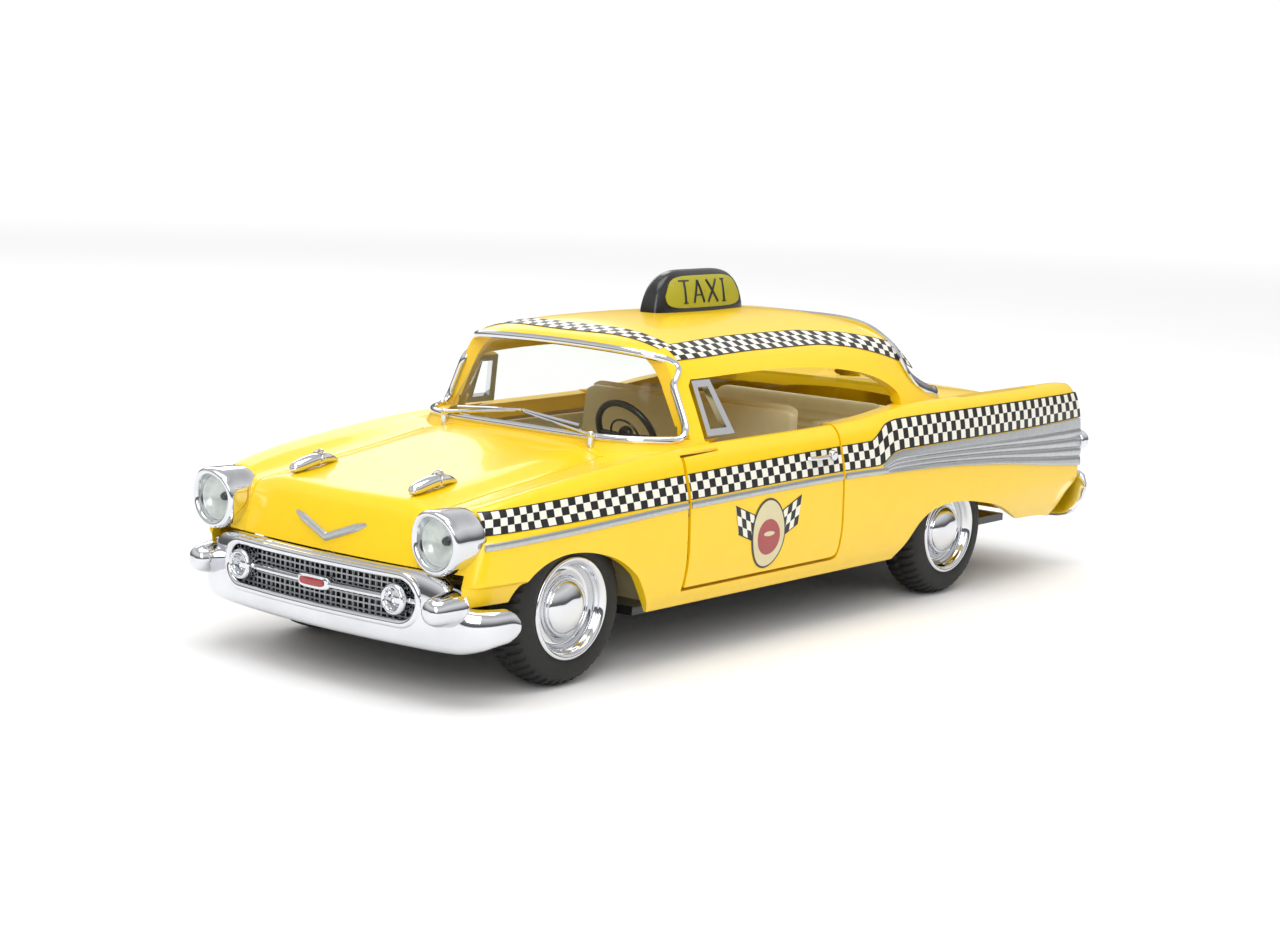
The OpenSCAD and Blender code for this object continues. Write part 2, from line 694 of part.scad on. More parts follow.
module plate_outline() {
    polygon([[-56.5, -13.5], [-34.2, -13.5], [-33, -19.6], [17.8, -19.6], [18.6, -13.5], [55, -13.5], [55, 13.5],
        [18.6, 13.5], [17.8, 19.6], [-33, 19.6], [-34.2, 13.5], [-56.5, 13.5]]);
}

module chassis_screws() color("silver") {
    for (x = [front_post_x, rear_post_x]) {
        translate([x, 0, plate_z + 0.05]) cylinder(h = 7.5, r = screw_r - 0.02);
        difference() {
            translate([x, 0, plate_z - 0.05]) cylinder(h = 0.5, r = 1.6);
            translate([x, 0, plate_z - 0.1]) cube([2, 0.4, 0.6], center = true);
        }
    }
}

module axle(x) {
    translate([x, 0, 8.6]) rotate([90, 0, 0]) cylinder(h = 2 * tyre_face_y - 2, r = axle_r, center = true);
}

// Places a wheel part, drawn with its outer face upward at zero, at one corner of the car.
module corner(x, side) {
    translate([x, side * tyre_face_y, 8.6]) rotate([-side * 90, 0, 0]) children();
}

seat_r = rim_r - 0.4;      // where the tyre grips the rim

module tyre() {
    difference() {
        rotate_extrude($fn = 96)
            polygon([[seat_r + 0.03, -0.5], [rim_r + 0.5, 0], [tyre_r - 1.1, 0], [tyre_r - 0.3, -0.5],
                [tyre_r, -1.3], [tyre_r, 1.3 - tyre_w], [tyre_r - 0.3, 0.5 - tyre_w], [tyre_r - 1.1, -tyre_w],
                [rim_r, -tyre_w], [seat_r + 0.03, 0.4 - tyre_w]]);
        // Tread grooves.
        for (h = [-1.9, -tyre_w / 2, 1.9 - tyre_w])
            translate([0, 0, h - 0.15])
                difference() {
                    cylinder(h = 0.3, r = tyre_r + 1);
                    translate([0, 0, -1]) cylinder(h = 3, r = tyre_r - 0.3);
                }
    }
}

module rim() {
    difference() {
        rotate_extrude()
            polygon([[0, 0.1], [1, 0.05], [2.4, -0.4], [3.3, -1], [3.5, -1.3], [4.6, -1], [4.9, -0.2], [5.4, 0.15],
                [rim_r - 0.02, -0.1], [seat_r, -0.55], [seat_r, 0.5 - tyre_w], [4.4, 0.5 - tyre_w], [4.2, -2.4],
                [1.8, -2.2], [1.8, -tyre_w], [0, -tyre_w]]);
        translate([0, 0, -tyre_w - 1]) cylinder(h = tyre_w, r = axle_r + 0.01);
    }
}

module tyre_front_left() color("black") corner(front_axle_x, -1) tyre();
module tyre_front_right() color("black") corner(front_axle_x, 1) tyre();
module tyre_rear_left() color("black") corner(rear_axle_x, -1) tyre();
module tyre_rear_right() color("black") corner(rear_axle_x, 1) tyre();
module rim_front_left() color(chrome) corner(front_axle_x, -1) rim();
module rim_front_right() color(chrome) corner(front_axle_x, 1) rim();
module rim_rear_left() color(chrome) corner(rear_axle_x, -1) rim();
module rim_rear_right() color(chrome) corner(rear_axle_x, 1) rim();
module front_axle() color("silver") axle(front_axle_x);
module rear_axle() color("silver") axle(rear_axle_x);

// ---------------------------------------------------------------- pull-back motor
centre_gap = gear_m * (pinion_teeth + wheel_teeth) / 2;
idler_z = 9.8;
idler_x = rear_axle_x - sqrt(pow(centre_gap, 2) - pow(idler_z - 8.6, 2));
drum_x = idler_x - centre_gap;
mesh_turn = atan2(idler_z - 8.6, idler_x - rear_axle_x);

module gear_face(teeth, first) {
    r = gear_m * teeth / 2;
    step = 360 / teeth;
    polygon([for (k = [0 : teeth - 1], q = [[-0.32, -1.15], [-0.11, 0.85], [0.11, 0.85], [0.32, -1.15]])
        let (a = first + (k + q[0]) * step, rr = r + q[1] * gear_m) rr * [cos(a), sin(a)]]);
}

// A gear whose face lies across Y, from y1 to y2, with one tooth at the angle given.
module gear(teeth, x, z, y1, y2, first) {
    translate([x, y2, z]) rotate([90, 0, 0]) linear_extrude(y2 - y1) gear_face(teeth, first);
}

module axle_pinion() color("khaki") {
    difference() {
        gear(pinion_teeth, rear_axle_x, 8.6, -5.6, -2.6, mesh_turn);
        translate([rear_axle_x, 0, 8.6]) rotate([90, 0, 0]) cylinder(h = 40, r = axle_r + 0.01, center = true);
    }
}

module idler_gear() color("khaki") {
    difference() {
        union() {
            gear(wheel_teeth, idler_x, idler_z, -5.4, -3.4, mesh_turn + 180 + 180 / wheel_teeth);
            gear(pinion_teeth, idler_x, idler_z, -3.5, 0.6, 180);
        }
        translate([idler_x, 0, idler_z]) rotate([90, 0, 0]) cylinder(h = 40, r = 0.6 + clearance, center = true);
    }
}

module arbor(x) {
    translate([x, 0, idler_z]) rotate([90, 0, 0]) cylinder(h = 2 * motor_y - 0.2, r = 0.6, center = true);
}

module idler_arbor() color("silver") arbor(idler_x);
module drum_arbor() color("silver") arbor(drum_x);

module spring_drum() color("khaki") {
    difference() {
        union() {
            gear(wheel_teeth, drum_x, idler_z, -1.8, 0.4, 180 / wheel_teeth);
            translate([drum_x, 6.2, idler_z]) rotate([90, 0, 0]) cylinder(h = 6, r = 4.3);
        }
        translate([drum_x, 7, idler_z]) rotate([90, 0, 0]) cylinder(h = 5.6, r = 3.7);
        translate([drum_x, 0, idler_z]) rotate([90, 0, 0]) cylinder(h = 40, r = 0.6 + clearance, center = true);
    }
}

module mainspring() color("steelblue") {
    turns = 4;
    inner = [for (a = [0 : 24 : 360 * turns]) let (r = 1 + 2.4 * a / (360 * turns)) r * [cos(a), sin(a)]];
    outer = [for (a = [360 * turns : -24 : 0]) let (r = 1.2 + 2.4 * a / (360 * turns)) r * [cos(a), sin(a)]];
    translate([drum_x, 6, idler_z]) rotate([90, 0, 0]) linear_extrude(4) polygon(concat(inner, outer));
}

module motor_room(grow) {
    translate([motor_x[0] + grow, -motor_y + grow, motor_z[0] + grow])
        cube([motor_x[1] - motor_x[0] - 2 * grow, 2 * motor_y, motor_z[1] - motor_z[0] - 2 * grow]);
}

module motor_bores() {
    translate([rear_axle_x, 0, 8.6]) rotate([90, 0, 0]) cylinder(h = 40, r = axle_r + clearance, center = true);
    for (x = [idler_x, drum_x])
        translate([x, 0, idler_z]) rotate([90, 0, 0]) cylinder(h = 40, r = 0.62, center = true);
}

module motor_case() color("gray") {
    difference() {
        intersection() {
            motor_room(0);
            translate([0, motor_y - 0.95 - 50, 0]) cube([200, 100, 100], center = true);
        }
        motor_room(motor_wall);
        motor_bores();
    }
    translate([19, -motor_y - 2.2, plate_z + plate_t + 0.05]) cube([5, 2.3, 0.8]);
}

module motor_cover() color("gray") {
    difference() {
        translate([motor_x[0], motor_y - 0.9, motor_z[0]])
            cube([motor_x[1] - motor_x[0], 0.9, motor_z[1] - motor_z[0]]);
        motor_bores();
    }
    translate([19, motor_y - 0.1, plate_z + plate_t + 0.05]) cube([5, 2.3, 0.8]);
}

body_shell();
chassis();
interior_tub();
front_seat();
rear_seat();
dashboard();
steering_wheel();
windshield();
rear_window();
windshield_frame();
rear_window_trim();
wiper_left();
wiper_right();
front_bumper();
grille_insert();
grille_bar();
rear_bumper();
headlight_bezel_left();
headlight_bezel_right();
headlight_lens_left();
headlight_lens_right();
tail_light_left();
tail_light_right();
hood_ornaments();
hood_trim();
sign_housing();
sign_panel_left();
sign_panel_right();
chassis_screws();
door_left();
door_right();
door_handle_left();
door_handle_right();
vent_frame_left();
vent_frame_right();
hinge_pin_left();
hinge_pin_right();
front_axle();
tyre_front_left();
tyre_front_right();
rim_front_left();
rim_front_right();
rear_axle();
tyre_rear_left();
tyre_rear_right();
rim_rear_left();
rim_rear_right();
axle_pinion();
motor_case();
motor_cover();
idler_gear();
idler_arbor();
spring_drum();
drum_arbor();
mainspring();
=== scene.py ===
"""Diecast taxi coupe: body casting, doors, trim, lamps, cabin and wheels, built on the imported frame."""

import logging
import math
from dataclasses import dataclass
from enum import Enum
from typing import Optional, Sequence

import bpy
import numpy as np
from mathutils import Matrix, Vector


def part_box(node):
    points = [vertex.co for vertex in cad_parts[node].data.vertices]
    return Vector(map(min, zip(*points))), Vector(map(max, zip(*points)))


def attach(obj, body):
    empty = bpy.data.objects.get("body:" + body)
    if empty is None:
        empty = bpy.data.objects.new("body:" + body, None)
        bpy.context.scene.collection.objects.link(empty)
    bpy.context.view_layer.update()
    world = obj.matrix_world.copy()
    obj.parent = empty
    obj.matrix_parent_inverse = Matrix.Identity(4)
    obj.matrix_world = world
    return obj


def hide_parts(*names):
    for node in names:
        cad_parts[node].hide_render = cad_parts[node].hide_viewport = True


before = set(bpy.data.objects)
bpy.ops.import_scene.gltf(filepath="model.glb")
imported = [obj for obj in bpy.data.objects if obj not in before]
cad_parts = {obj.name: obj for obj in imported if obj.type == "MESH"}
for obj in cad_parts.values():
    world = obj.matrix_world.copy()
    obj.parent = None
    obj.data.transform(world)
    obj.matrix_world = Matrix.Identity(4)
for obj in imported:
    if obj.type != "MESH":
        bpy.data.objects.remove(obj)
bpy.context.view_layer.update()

MM = 0.001
LOG = logging.getLogger("taxi")
Array = np.ndarray


class Side(Enum):
    """Side of the car: the sign of Y in the shared frame."""

    LEFT = -1
    RIGHT = 1

    @property
    def word(self) -> str:
        """Suffix that the side's nodes and pieces carry."""
        return self.name.lower()


# ------------------------------------------------------------------ curves and grids


def smooth_rows(rows: Array, at: Array) -> Array:
    """Monotone cubic through evenly spaced knots: harmonic-mean slopes, then the Hermite basis.

    Args:
        rows: knot values, with the knots on the last axis.
        at: knot numbers to read at, from 0 to the last knot.

    Returns:
        Values with the last axis as long as ``at``.
    """
    rows = np.asarray(rows, float)
    step = np.diff(rows, axis=-1)
    slope = np.zeros_like(rows)
    a, b = step[..., :-1], step[..., 1:]
    same = a * b > 0
    slope[..., 1:-1] = np.where(same, 2 * a * b / np.where(same, a + b, 1.0), 0.0)
    slope[..., 0], slope[..., -1] = step[..., 0], step[..., -1]
    k = np.clip(np.floor(at).astype(int), 0, rows.shape[-1] - 2)
    t = at - k
    p0, p1, m0, m1 = rows[..., k], rows[..., k + 1], slope[..., k], slope[..., k + 1]
    return (
        (2 * t**3 - 3 * t**2 + 1) * p0
        + (t**3 - 2 * t**2 + t) * m0
        + (3 * t**2 - 2 * t**3) * p1
        + (t**3 - t**2) * m1
    )


def smooth_line(points: Sequence[Sequence[float]], at: Array) -> Array:
    """Monotone cubic through (position, value) pairs, held flat past both ends.

    Args:
        points: pairs in rising order of position.
        at: positions to read at.

    Returns:
        One value per position.
    """
    p = np.asarray(points, float)
    x, y = p[:, 0], p[:, 1]
    h = np.diff(x)
    d = np.diff(y) / h
    m = np.zeros_like(y)
    same = d[:-1] * d[1:] > 0
    m[1:-1] = np.where(same, 2 * d[:-1] * d[1:] / np.where(same, d[:-1] + d[1:], 1.0), 0.0)
    m[0], m[-1] = d[0], d[-1]
    at = np.clip(np.asarray(at, float), x[0], x[-1])
    k = np.clip(np.searchsorted(x, at) - 1, 0, len(x) - 2)
    t = (at - x[k]) / h[k]
    return (
        (2 * t**3 - 3 * t**2 + 1) * y[k]
        + (t**3 - 2 * t**2 + t) * m[k] * h[k]
        + (3 * t**2 - 2 * t**3) * y[k + 1]
        + (t**3 - t**2) * m[k + 1] * h[k]
    )


def spline(points: Sequence[Sequence[float]], count: int, closed: bool = False) -> Array:
    """Catmull-Rom curve through the points: each span's tangents are half its neighbours' difference.

    Args:
        points: points in two or three dimensions; a repeated point makes a corner.
        count: samples in each span.
        closed: whether the last point joins the first.

    Returns:
        Curve points, without the closing repeat.
    """
    p = np.asarray(points, float)
    if closed:
        q = np.vstack([p[-1:], p, p[:2]])
    else:
        q = np.vstack([2 * p[0] - p[1], p, 2 * p[-1] - p[-2]])
    t = np.linspace(0, 1, count, endpoint=False)[None, :, None]
    a, b, c, d = (q[i : len(q) - 3 + i][:, None, :] for i in range(4))
    out = 0.5 * (2 * b + (c - a) * t + (2 * a - 5 * b + 4 * c - d) * t**2 + (3 * b - a - 3 * c + d) * t**3)
    out = out.reshape(-1, p.shape[1])
    keep = np.linalg.norm(np.diff(out, axis=0, append=out[:1] + 1), axis=1) > 1e-6
    out = out[keep]
    return out if closed else np.vstack([out, p[-1:]])


def grid_faces(rows: int, columns: int, wrap_rows: bool = False, wrap_columns: bool = False) -> Array:
    """Quads of a grid of points numbered row by row.

    Args:
        rows: number of rows.
        columns: points in a row.
        wrap_rows: whether the last row joins the first.
        wrap_columns: whether each row closes on itself.

    Returns:
        One row of four point numbers per quad.
    """
    i = np.arange(rows if wrap_rows else rows - 1)[:, None]
    j = np.arange(columns if wrap_columns else columns - 1)[None, :]
    i2, j2 = (i + 1) % rows, (j + 1) % columns
    quads = [i * columns + j, i * columns + j2, i2 * columns + j2, i2 * columns + j]
    return np.stack([np.broadcast_to(q, (i.size, j.size)) for q in quads], axis=-1).reshape(-1, 4)


def new_mesh(name: str, points: Array, faces: Sequence, uv: Optional[Array] = None) -> bpy.types.Object:
    """Object from points in millimetres.

    Args:
        name: object name.
        points: one row of three numbers per point.
        faces: point numbers of each face.
        uv: pattern coordinates of each point.

    Returns:
        The object, linked into the scene, with its place in its mesh.
    """
    mesh = bpy.data.meshes.new(name)
    faces = [list(map(int, f)) for f in faces] if not isinstance(faces, np.ndarray) else faces.tolist()
    mesh.from_pydata((np.asarray(points, float).reshape(-1, 3) * MM).tolist(), [], faces)
    if uv is not None:
        layer = mesh.uv_layers.new(name="pattern")
        corners = np.zeros(len(mesh.loops), dtype=np.int32)
        mesh.loops.foreach_get("vertex_index", corners)
        layer.data.foreach_set("uv", np.asarray(uv, float).reshape(-1, 2)[corners].ravel())
    mesh.validate()
    obj = bpy.data.objects.new(name, mesh)
    bpy.context.collection.objects.link(obj)
    return obj


def surface(name: str, grid: Array, wrap_rows: bool = False, wrap_columns: bool = False,
            uv: Optional[Array] = None, caps: bool = False) -> bpy.types.Object:
    """Object over a grid of points, with normals made to face outward on a closed shape.

    Args:
        name: object name.
        grid: points as (rows, columns, 3), in millimetres.
        wrap_rows: whether the last row joins the first.
        wrap_columns: whether each row closes on itself.
        uv: pattern coordinates as (rows, columns, 2).
        caps: whether the first and last rows are filled.

    Returns:
        The object.
    """
    rows, columns = grid.shape[:2]
    faces = grid_faces(rows, columns, wrap_rows, wrap_columns).tolist()
    if caps:
        faces.append(list(range(columns))[::-1])
        faces.append(list(range((rows - 1) * columns, rows * columns)))
    obj = new_mesh(name, grid.reshape(-1, 3), faces, None if uv is None else uv.reshape(-1, 2))
    if caps or (wrap_rows and wrap_columns):
        outward(obj)
    return obj


def outward(obj: bpy.types.Object) -> None:
    """Merges doubled points, then turns every face outward."""
    import bmesh

    bm = bmesh.new()
    bm.from_mesh(obj.data)
    bmesh.ops.remove_doubles(bm, verts=bm.verts, dist=1e-7)
    bmesh.ops.recalc_face_normals(bm, faces=bm.faces)
    bm.to_mesh(obj.data)
    bm.free()


def prism(name: str, outline: Array, low: float, high: float, along: str = "y") -> bpy.types.Object:
    """Straight solid over a closed outline.

    Args:
        name: object name.
        outline: outline points; (x, z) along y, (y, z) along x and (x, y) along z.
        low: where it begins.
        high: where it ends.
        along: axis that it runs along.

    Returns:
        The object.
    """
    a, b = outline[:, 0], outline[:, 1]
    rows = []
    for level in (low, high):
        c = np.full_like(a, level)
        rows.append(np.stack({"y": (a, c, b), "x": (c, a, b), "z": (a, b, c)}[along], axis=-1))
    return surface(name, np.stack(rows), wrap_columns=True, caps=True)


def lathe(name: str, profile: Array, turns: int, centre: Sequence[float], axis: str = "y",
          flip: float = 1.0) -> bpy.types.Object:
    """Closed profile turned round an axis: point = centre + height along the axis + radius round it.

    Args:
        name: object name.
        profile: (radius, height) pairs of a closed loop.
        turns: samples round the axis.
        centre: point on the axis where the height is zero.
        axis: "x", "y" or "z".
        flip: sign of the height.

    Returns:
        The object.
    """
    angle = np.linspace(0, 2 * math.pi, turns, endpoint=False)[:, None]
    r, h = profile[None, :, 0], profile[None, :, 1] * flip
    c, s, h = r * np.cos(angle), r * np.sin(angle), np.broadcast_to(h, (turns, profile.shape[0]))
    order = {"x": (h, c, s), "y": (s, h, c), "z": (c, s, h)}[axis]
    grid = np.stack(order, axis=-1) + np.asarray(centre, float)
    obj = surface(name, grid, wrap_rows=True, wrap_columns=True)
    return obj


def tube(name: str, path: Array, radii: Array, sides: int = 12, flat: float = 1.0,
         up: Sequence[float] = (0, 0, 1), closed: bool = False) -> bpy.types.Object:
    """Oval profile carried along a path: point = path + radius (cos a * across + flat * sin a * up).

    Args:
        name: object name.
        path: path points, in millimetres.
        radii: one radius for each path point, or one for all.
        sides: points round the profile.
        flat: height of the profile over its width.
        up: direction that the profile's short way leans to.
        closed: whether the path is a loop.

    Returns:
        The object.
    """
    path = np.asarray(path, float)
    run = np.roll(path, -1, 0) - np.roll(path, 1, 0) if closed else np.gradient(path, axis=0)
    run /= np.linalg.norm(run, axis=1, keepdims=True)
    lift = np.broadcast_to(np.asarray(up, float), path.shape)
    across = np.cross(run, lift)
    across /= np.linalg.norm(across, axis=1, keepdims=True)
    lift = np.cross(across, run)
    a = np.linspace(0, 2 * math.pi, sides, endpoint=False)
    r = np.broadcast_to(np.asarray(radii, float), (len(path),))[:, None, None]
    ring = np.cos(a)[None, :, None] * across[:, None] + flat * np.sin(a)[None, :, None] * lift[:, None]
    grid = path[:, None] + r * ring
    return surface(name, grid, wrap_rows=closed, wrap_columns=True, caps=not closed)


# ------------------------------------------------------------------ finishing helpers


def apply(obj: bpy.types.Object, kind: str, **settings: object) -> None:
    """Adds a modifier with its settings and makes it permanent."""
    modifier = obj.modifiers.new(kind.lower(), kind)
    for key, value in settings.items():
        setattr(modifier, key, value)
    graph = bpy.context.evaluated_depsgraph_get()
    made = bpy.data.meshes.new_from_object(obj.evaluated_get(graph), depsgraph=graph)
    obj.modifiers.clear()
    old, obj.data = obj.data, made
    bpy.data.meshes.remove(old)


def combine(obj: bpy.types.Object, tool: bpy.types.Object, how: str = "DIFFERENCE",
            keep: bool = False) -> None:
    """Cuts, joins or crosses obj with a closed tool, which is then thrown away unless kept."""
    before = len(obj.data.polygons)
    apply(obj, "BOOLEAN", object=tool, operation=how, solver="MANIFOLD")
    if len(obj.data.polygons) == 0 and before:
        LOG.warning("%s: nothing left after %s with %s", obj.name, how, tool.name)
    if not keep:
        throw_away(tool)


def throw_away(*objects: bpy.types.Object) -> None:
    """Removes objects and their meshes."""
    for obj in objects:
        mesh = obj.data
        bpy.data.objects.remove(obj)
        bpy.data.meshes.remove(mesh)


def join(name: str, parts: Sequence[bpy.types.Object]) -> bpy.types.Object:
    """Makes one object of several, keeping their pattern coordinates and materials."""
    bpy.ops.object.select_all(action="DESELECT")
    for part in parts:
        part.select_set(True)
    bpy.context.view_layer.objects.active = parts[0]
    if len(parts) > 1:
        bpy.ops.object.join()
    parts[0].name = name
    parts[0].data.name = name
    return parts[0]


def shade(obj: bpy.types.Object, degrees: float = 32.0) -> None:
    """Smooth shading with edges sharper than the angle kept crisp."""
    obj.data.polygons.foreach_set("use_smooth", np.ones(len(obj.data.polygons), dtype=bool))
    obj.data.set_sharp_from_angle(angle=math.radians(degrees))


# ------------------------------------------------------------------ materials


def linear(code: str) -> tuple[float, float, float, float]:
    """Linear colour of an sRGB hex value: c / 12.92 below 0.04045, else ((c + 0.055) / 1.055) ** 2.4."""
    channels = [int(code[i : i + 2], 16) / 255 for i in (1, 3, 5)]
    return (*[c / 12.92 if c <= 0.04045 else ((c + 0.055) / 1.055) ** 2.4 for c in channels], 1.0)


def add_node(tree: bpy.types.NodeTree, kind: str, links: Optional[dict] = None,
             **settings: object) -> bpy.types.Node:
    """Adds a node.

    Args:
        tree: node tree that it joins.
        kind: node type.
        links: input name or number to a socket to link from, or to a value.
        settings: properties of the node.

    Returns:
        The node.
    """
    node = tree.nodes.new(kind)
    for key, value in settings.items():
        setattr(node, key, value)
    for key, value in (links or {}).items():
        if isinstance(value, bpy.types.NodeSocket):
            tree.links.new(value, node.inputs[key])
        else:
            node.inputs[key].default_value = value
    return node


def blend_colours(tree: bpy.types.NodeTree, factor: object, low: object,
                  high: object) -> bpy.types.NodeSocket:
    """Mixes two colours, each a hex value or a socket, by a factor, and gives the result's socket."""
    pick = [linear(c) if isinstance(c, str) else c for c in (low, high)]
    return add_node(tree, "ShaderNodeMix", {"Factor": factor, 6: pick[0], 7: pick[1]},
                    data_type="RGBA").outputs[2]


@dataclass(frozen=True)
class Finish:
    """A real finish: two colours that a fine noise runs between, gloss, and a slight relief."""

    name: str
    colour: str
    second: str
    grain: float
    roughness: float = 0.4
    metallic: float = 0.0
    coat: float = 0.0
    relief: float = 0.0

    def start(self) -> tuple[bpy.types.Material, bpy.types.NodeTree, bpy.types.NodeSocket]:
        """Gives an empty material, its tree and a noise whose grain is in millimetres."""
        material = bpy.data.materials.new(self.name)
        material.use_nodes = True
        tree = material.node_tree
        tree.nodes.clear()
        place = add_node(tree, "ShaderNodeTexCoord").outputs["Object"]
        noise = add_node(tree, "ShaderNodeTexNoise",
                         {"Vector": place, "Scale": 1 / (self.grain * MM), "Detail": 3.0})
        return material, tree, noise.outputs["Fac"]

    def shader(self, tree: bpy.types.NodeTree, noise: bpy.types.NodeSocket,
               colour: Optional[bpy.types.NodeSocket] = None) -> bpy.types.Node:
        """Principled shader of the finish.

        Args:
            tree: the material's tree.
            noise: the finish's noise.
            colour: base colour where a pattern gives it.

        Returns:
            The shader node.
        """
        if colour is None:
            colour = blend_colours(tree, noise, self.colour, self.second)
        rough = add_node(tree, "ShaderNodeMapRange", {"Value": noise, "To Min": self.roughness * 0.8,
                                                      "To Max": self.roughness * 1.2}).outputs[0]
        links = {"Base Color": colour, "Roughness": rough, "Metallic": self.metallic,
                 "Coat Weight": self.coat, "Coat Roughness": 0.04}
        if self.relief:
            links["Normal"] = add_node(tree, "ShaderNodeBump",
                                       {"Height": noise, "Distance": self.relief * MM}).outputs[0]
        return add_node(tree, "ShaderNodeBsdfPrincipled", links)

    def make(self) -> bpy.types.Material:
        """Builds the material."""
        material, tree, noise = self.start()
        shader = self.shader(tree, noise)
        add_node(tree, "ShaderNodeOutputMaterial", {"Surface": shader.outputs[0]})
        return material


@dataclass(frozen=True)
class ClearFinish(Finish):
    """Clear moulded plastic: light passes straight through, and Fresnel gives the gloss."""

    def make(self) -> bpy.types.Material:
        """Builds the material."""
        material, tree, noise = self.start()
        through = add_node(tree, "ShaderNodeBsdfTransparent",
                           {0: blend_colours(tree, noise, self.colour, self.second)})
        gloss = add_node(tree, "ShaderNodeBsdfGlossy", {"Roughness": self.roughness})
        fresnel = add_node(tree, "ShaderNodeFresnel", {"IOR": 1.3}).outputs[0]
        inside = add_node(tree, "ShaderNodeNewGeometry").outputs["Backfacing"]
        outside = add_node(tree, "ShaderNodeMath", {0: 1.0, 1: inside}, operation="SUBTRACT").outputs[0]
        share = add_node(tree, "ShaderNodeMath", {0: fresnel, 1: outside}, operation="MULTIPLY").outputs[0]
        mix = add_node(tree, "ShaderNodeMixShader", {0: share, 1: through.outputs[0], 2: gloss.outputs[0]})
        add_node(tree, "ShaderNodeOutputMaterial", {"Surface": mix.outputs[0]})
        return material


@dataclass(frozen=True)
class PaperFinish(Finish):
    """Back-lit paper: its own light grows with distance, 0 at 150 mm and full at 900 mm."""

    def make(self) -> bpy.types.Material:
        """Builds the material."""
        material, tree, noise = self.start()
        shader = self.shader(tree, noise)
        place = add_node(tree, "ShaderNodeTexCoord").outputs["Object"]
        away = add_node(tree, "ShaderNodeVectorMath", {0: place}, operation="LENGTH").outputs["Value"]
        glow = add_node(tree, "ShaderNodeMapRange",
                        {"Value": away, "From Min": 0.15, "From Max": 0.9}).outputs[0]
        light = add_node(tree, "ShaderNodeEmission", {"Strength": 1.0})
        mix = add_node(tree, "ShaderNodeMixShader", {0: glow, 1: shader.outputs[0], 2: light.outputs[0]})
        add_node(tree, "ShaderNodeOutputMaterial", {"Surface": mix.outputs[0]})
        return material


@dataclass(frozen=True)
class CheckFinish(Finish):
    """Printed checker band: one square per pattern unit, with a thin dark line along both edges."""

    rows: float = 3.0
    line: float = 0.12

    def make(self) -> bpy.types.Material:
        """Builds the material."""
        material, tree, noise = self.start()
        uv = add_node(tree, "ShaderNodeUVMap", uv_map="pattern").outputs[0]
        off = add_node(tree, "ShaderNodeVectorMath", {0: uv, 1: (0.001, 0.001, 0.5)}).outputs[0]
        check = add_node(tree, "ShaderNodeTexChecker", {"Vector": off, "Scale": 1.0}).outputs["Fac"]
        v = add_node(tree, "ShaderNodeSeparateXYZ", {0: uv}).outputs[1]
        middle = add_node(tree, "ShaderNodeMath", {0: v, 1: self.rows / 2}, operation="SUBTRACT").outputs[0]
        reach = add_node(tree, "ShaderNodeMath", {0: middle}, operation="ABSOLUTE").outputs[0]
        edge = add_node(tree, "ShaderNodeMath", {0: reach, 1: self.rows / 2 - self.line},
                        operation="GREATER_THAN").outputs[0]
        squares = blend_colours(tree, check, self.colour, self.second)
        shader = self.shader(tree, noise, blend_colours(tree, edge, squares, self.colour))
        add_node(tree, "ShaderNodeOutputMaterial", {"Surface": shader.outputs[0]})
        return material


# Sprayed enamel over a zinc casting: a deep warm yellow under clear gloss, with a faint orange-peel ripple.
PAINT = Finish("enamel_taxi_yellow", "#FFD500", "#FCCE00", 2.5, 0.34, coat=0.4, relief=0.004)
# Vacuum-plated chrome on moulded plastic: mirror bright, very slightly milky.
CHROME = Finish("vacuum_chrome", "#E6E7EA", "#D3D5D9", 3.0, 0.06, 1.0, relief=0.003)
# Silver foil-stamped trim line: brighter than paint, softer than chrome.
FOIL = Finish("hot_stamped_silver", "#C9CBCC", "#AEB1B3", 0.6, 0.3, 0.75, relief=0.004)
# Moulded rubber: near black, dry, with a fine bloom.
RUBBER = Finish("moulded_tyre_rubber", "#121212", "#1E1E1D", 0.5, 0.62, relief=0.02)
# Injection-moulded ABS in cream, as the whole interior tub is.
CREAM = Finish("moulded_cream_abs", "#E2D8B0", "#D8CDA2", 1.5, 0.45, relief=0.01)
BLACK = Finish("moulded_black_abs", "#141416", "#1D1D20", 1.2, 0.3, coat=0.3, relief=0.005)
# Black printed grid on the grille's moulding.
GRILLE = Finish("moulded_grille_black", "#1A1B1D", "#26282A", 0.8, 0.35, relief=0.005)
OLIVE = Finish("pad_printed_olive_panel", "#B5B01C", "#A9A415", 1.2, 0.35, coat=0.4, relief=0.003)
CLEAR = ClearFinish("clear_styrene", "#FBFCFA", "#F7F9F6", 6.0, 0.02)
LENS = Finish("faceted_silver_lens", "#F4F5F7", "#D6DADF", 0.5, 0.3, 0.35, coat=1.0, relief=0.05)
RED = Finish("moulded_red_styrene", "#B0120E", "#8E0D0A", 1.0, 0.15, coat=0.8, relief=0.01)
STEEL = Finish("drawn_steel_wire", "#B8BABC", "#8F9294", 0.4, 0.28, 1.0, relief=0.003)
GREY = Finish("moulded_grey_abs", "#5B5E61", "#4B4E51", 1.0, 0.5, relief=0.01)
NYLON = Finish("moulded_white_nylon", "#E3DFCF", "#D2CDBA", 0.8, 0.42, relief=0.006)
CHECK = CheckFinish("pad_printed_checkers", "#0B0B0C", "#F2EEE0", 1.0, 0.45, coat=0.15, relief=0.002)
FLOOR = PaperFinish("matt_white_paper", "#FBFBFB", "#F4F4F4", 30.0, 0.9)
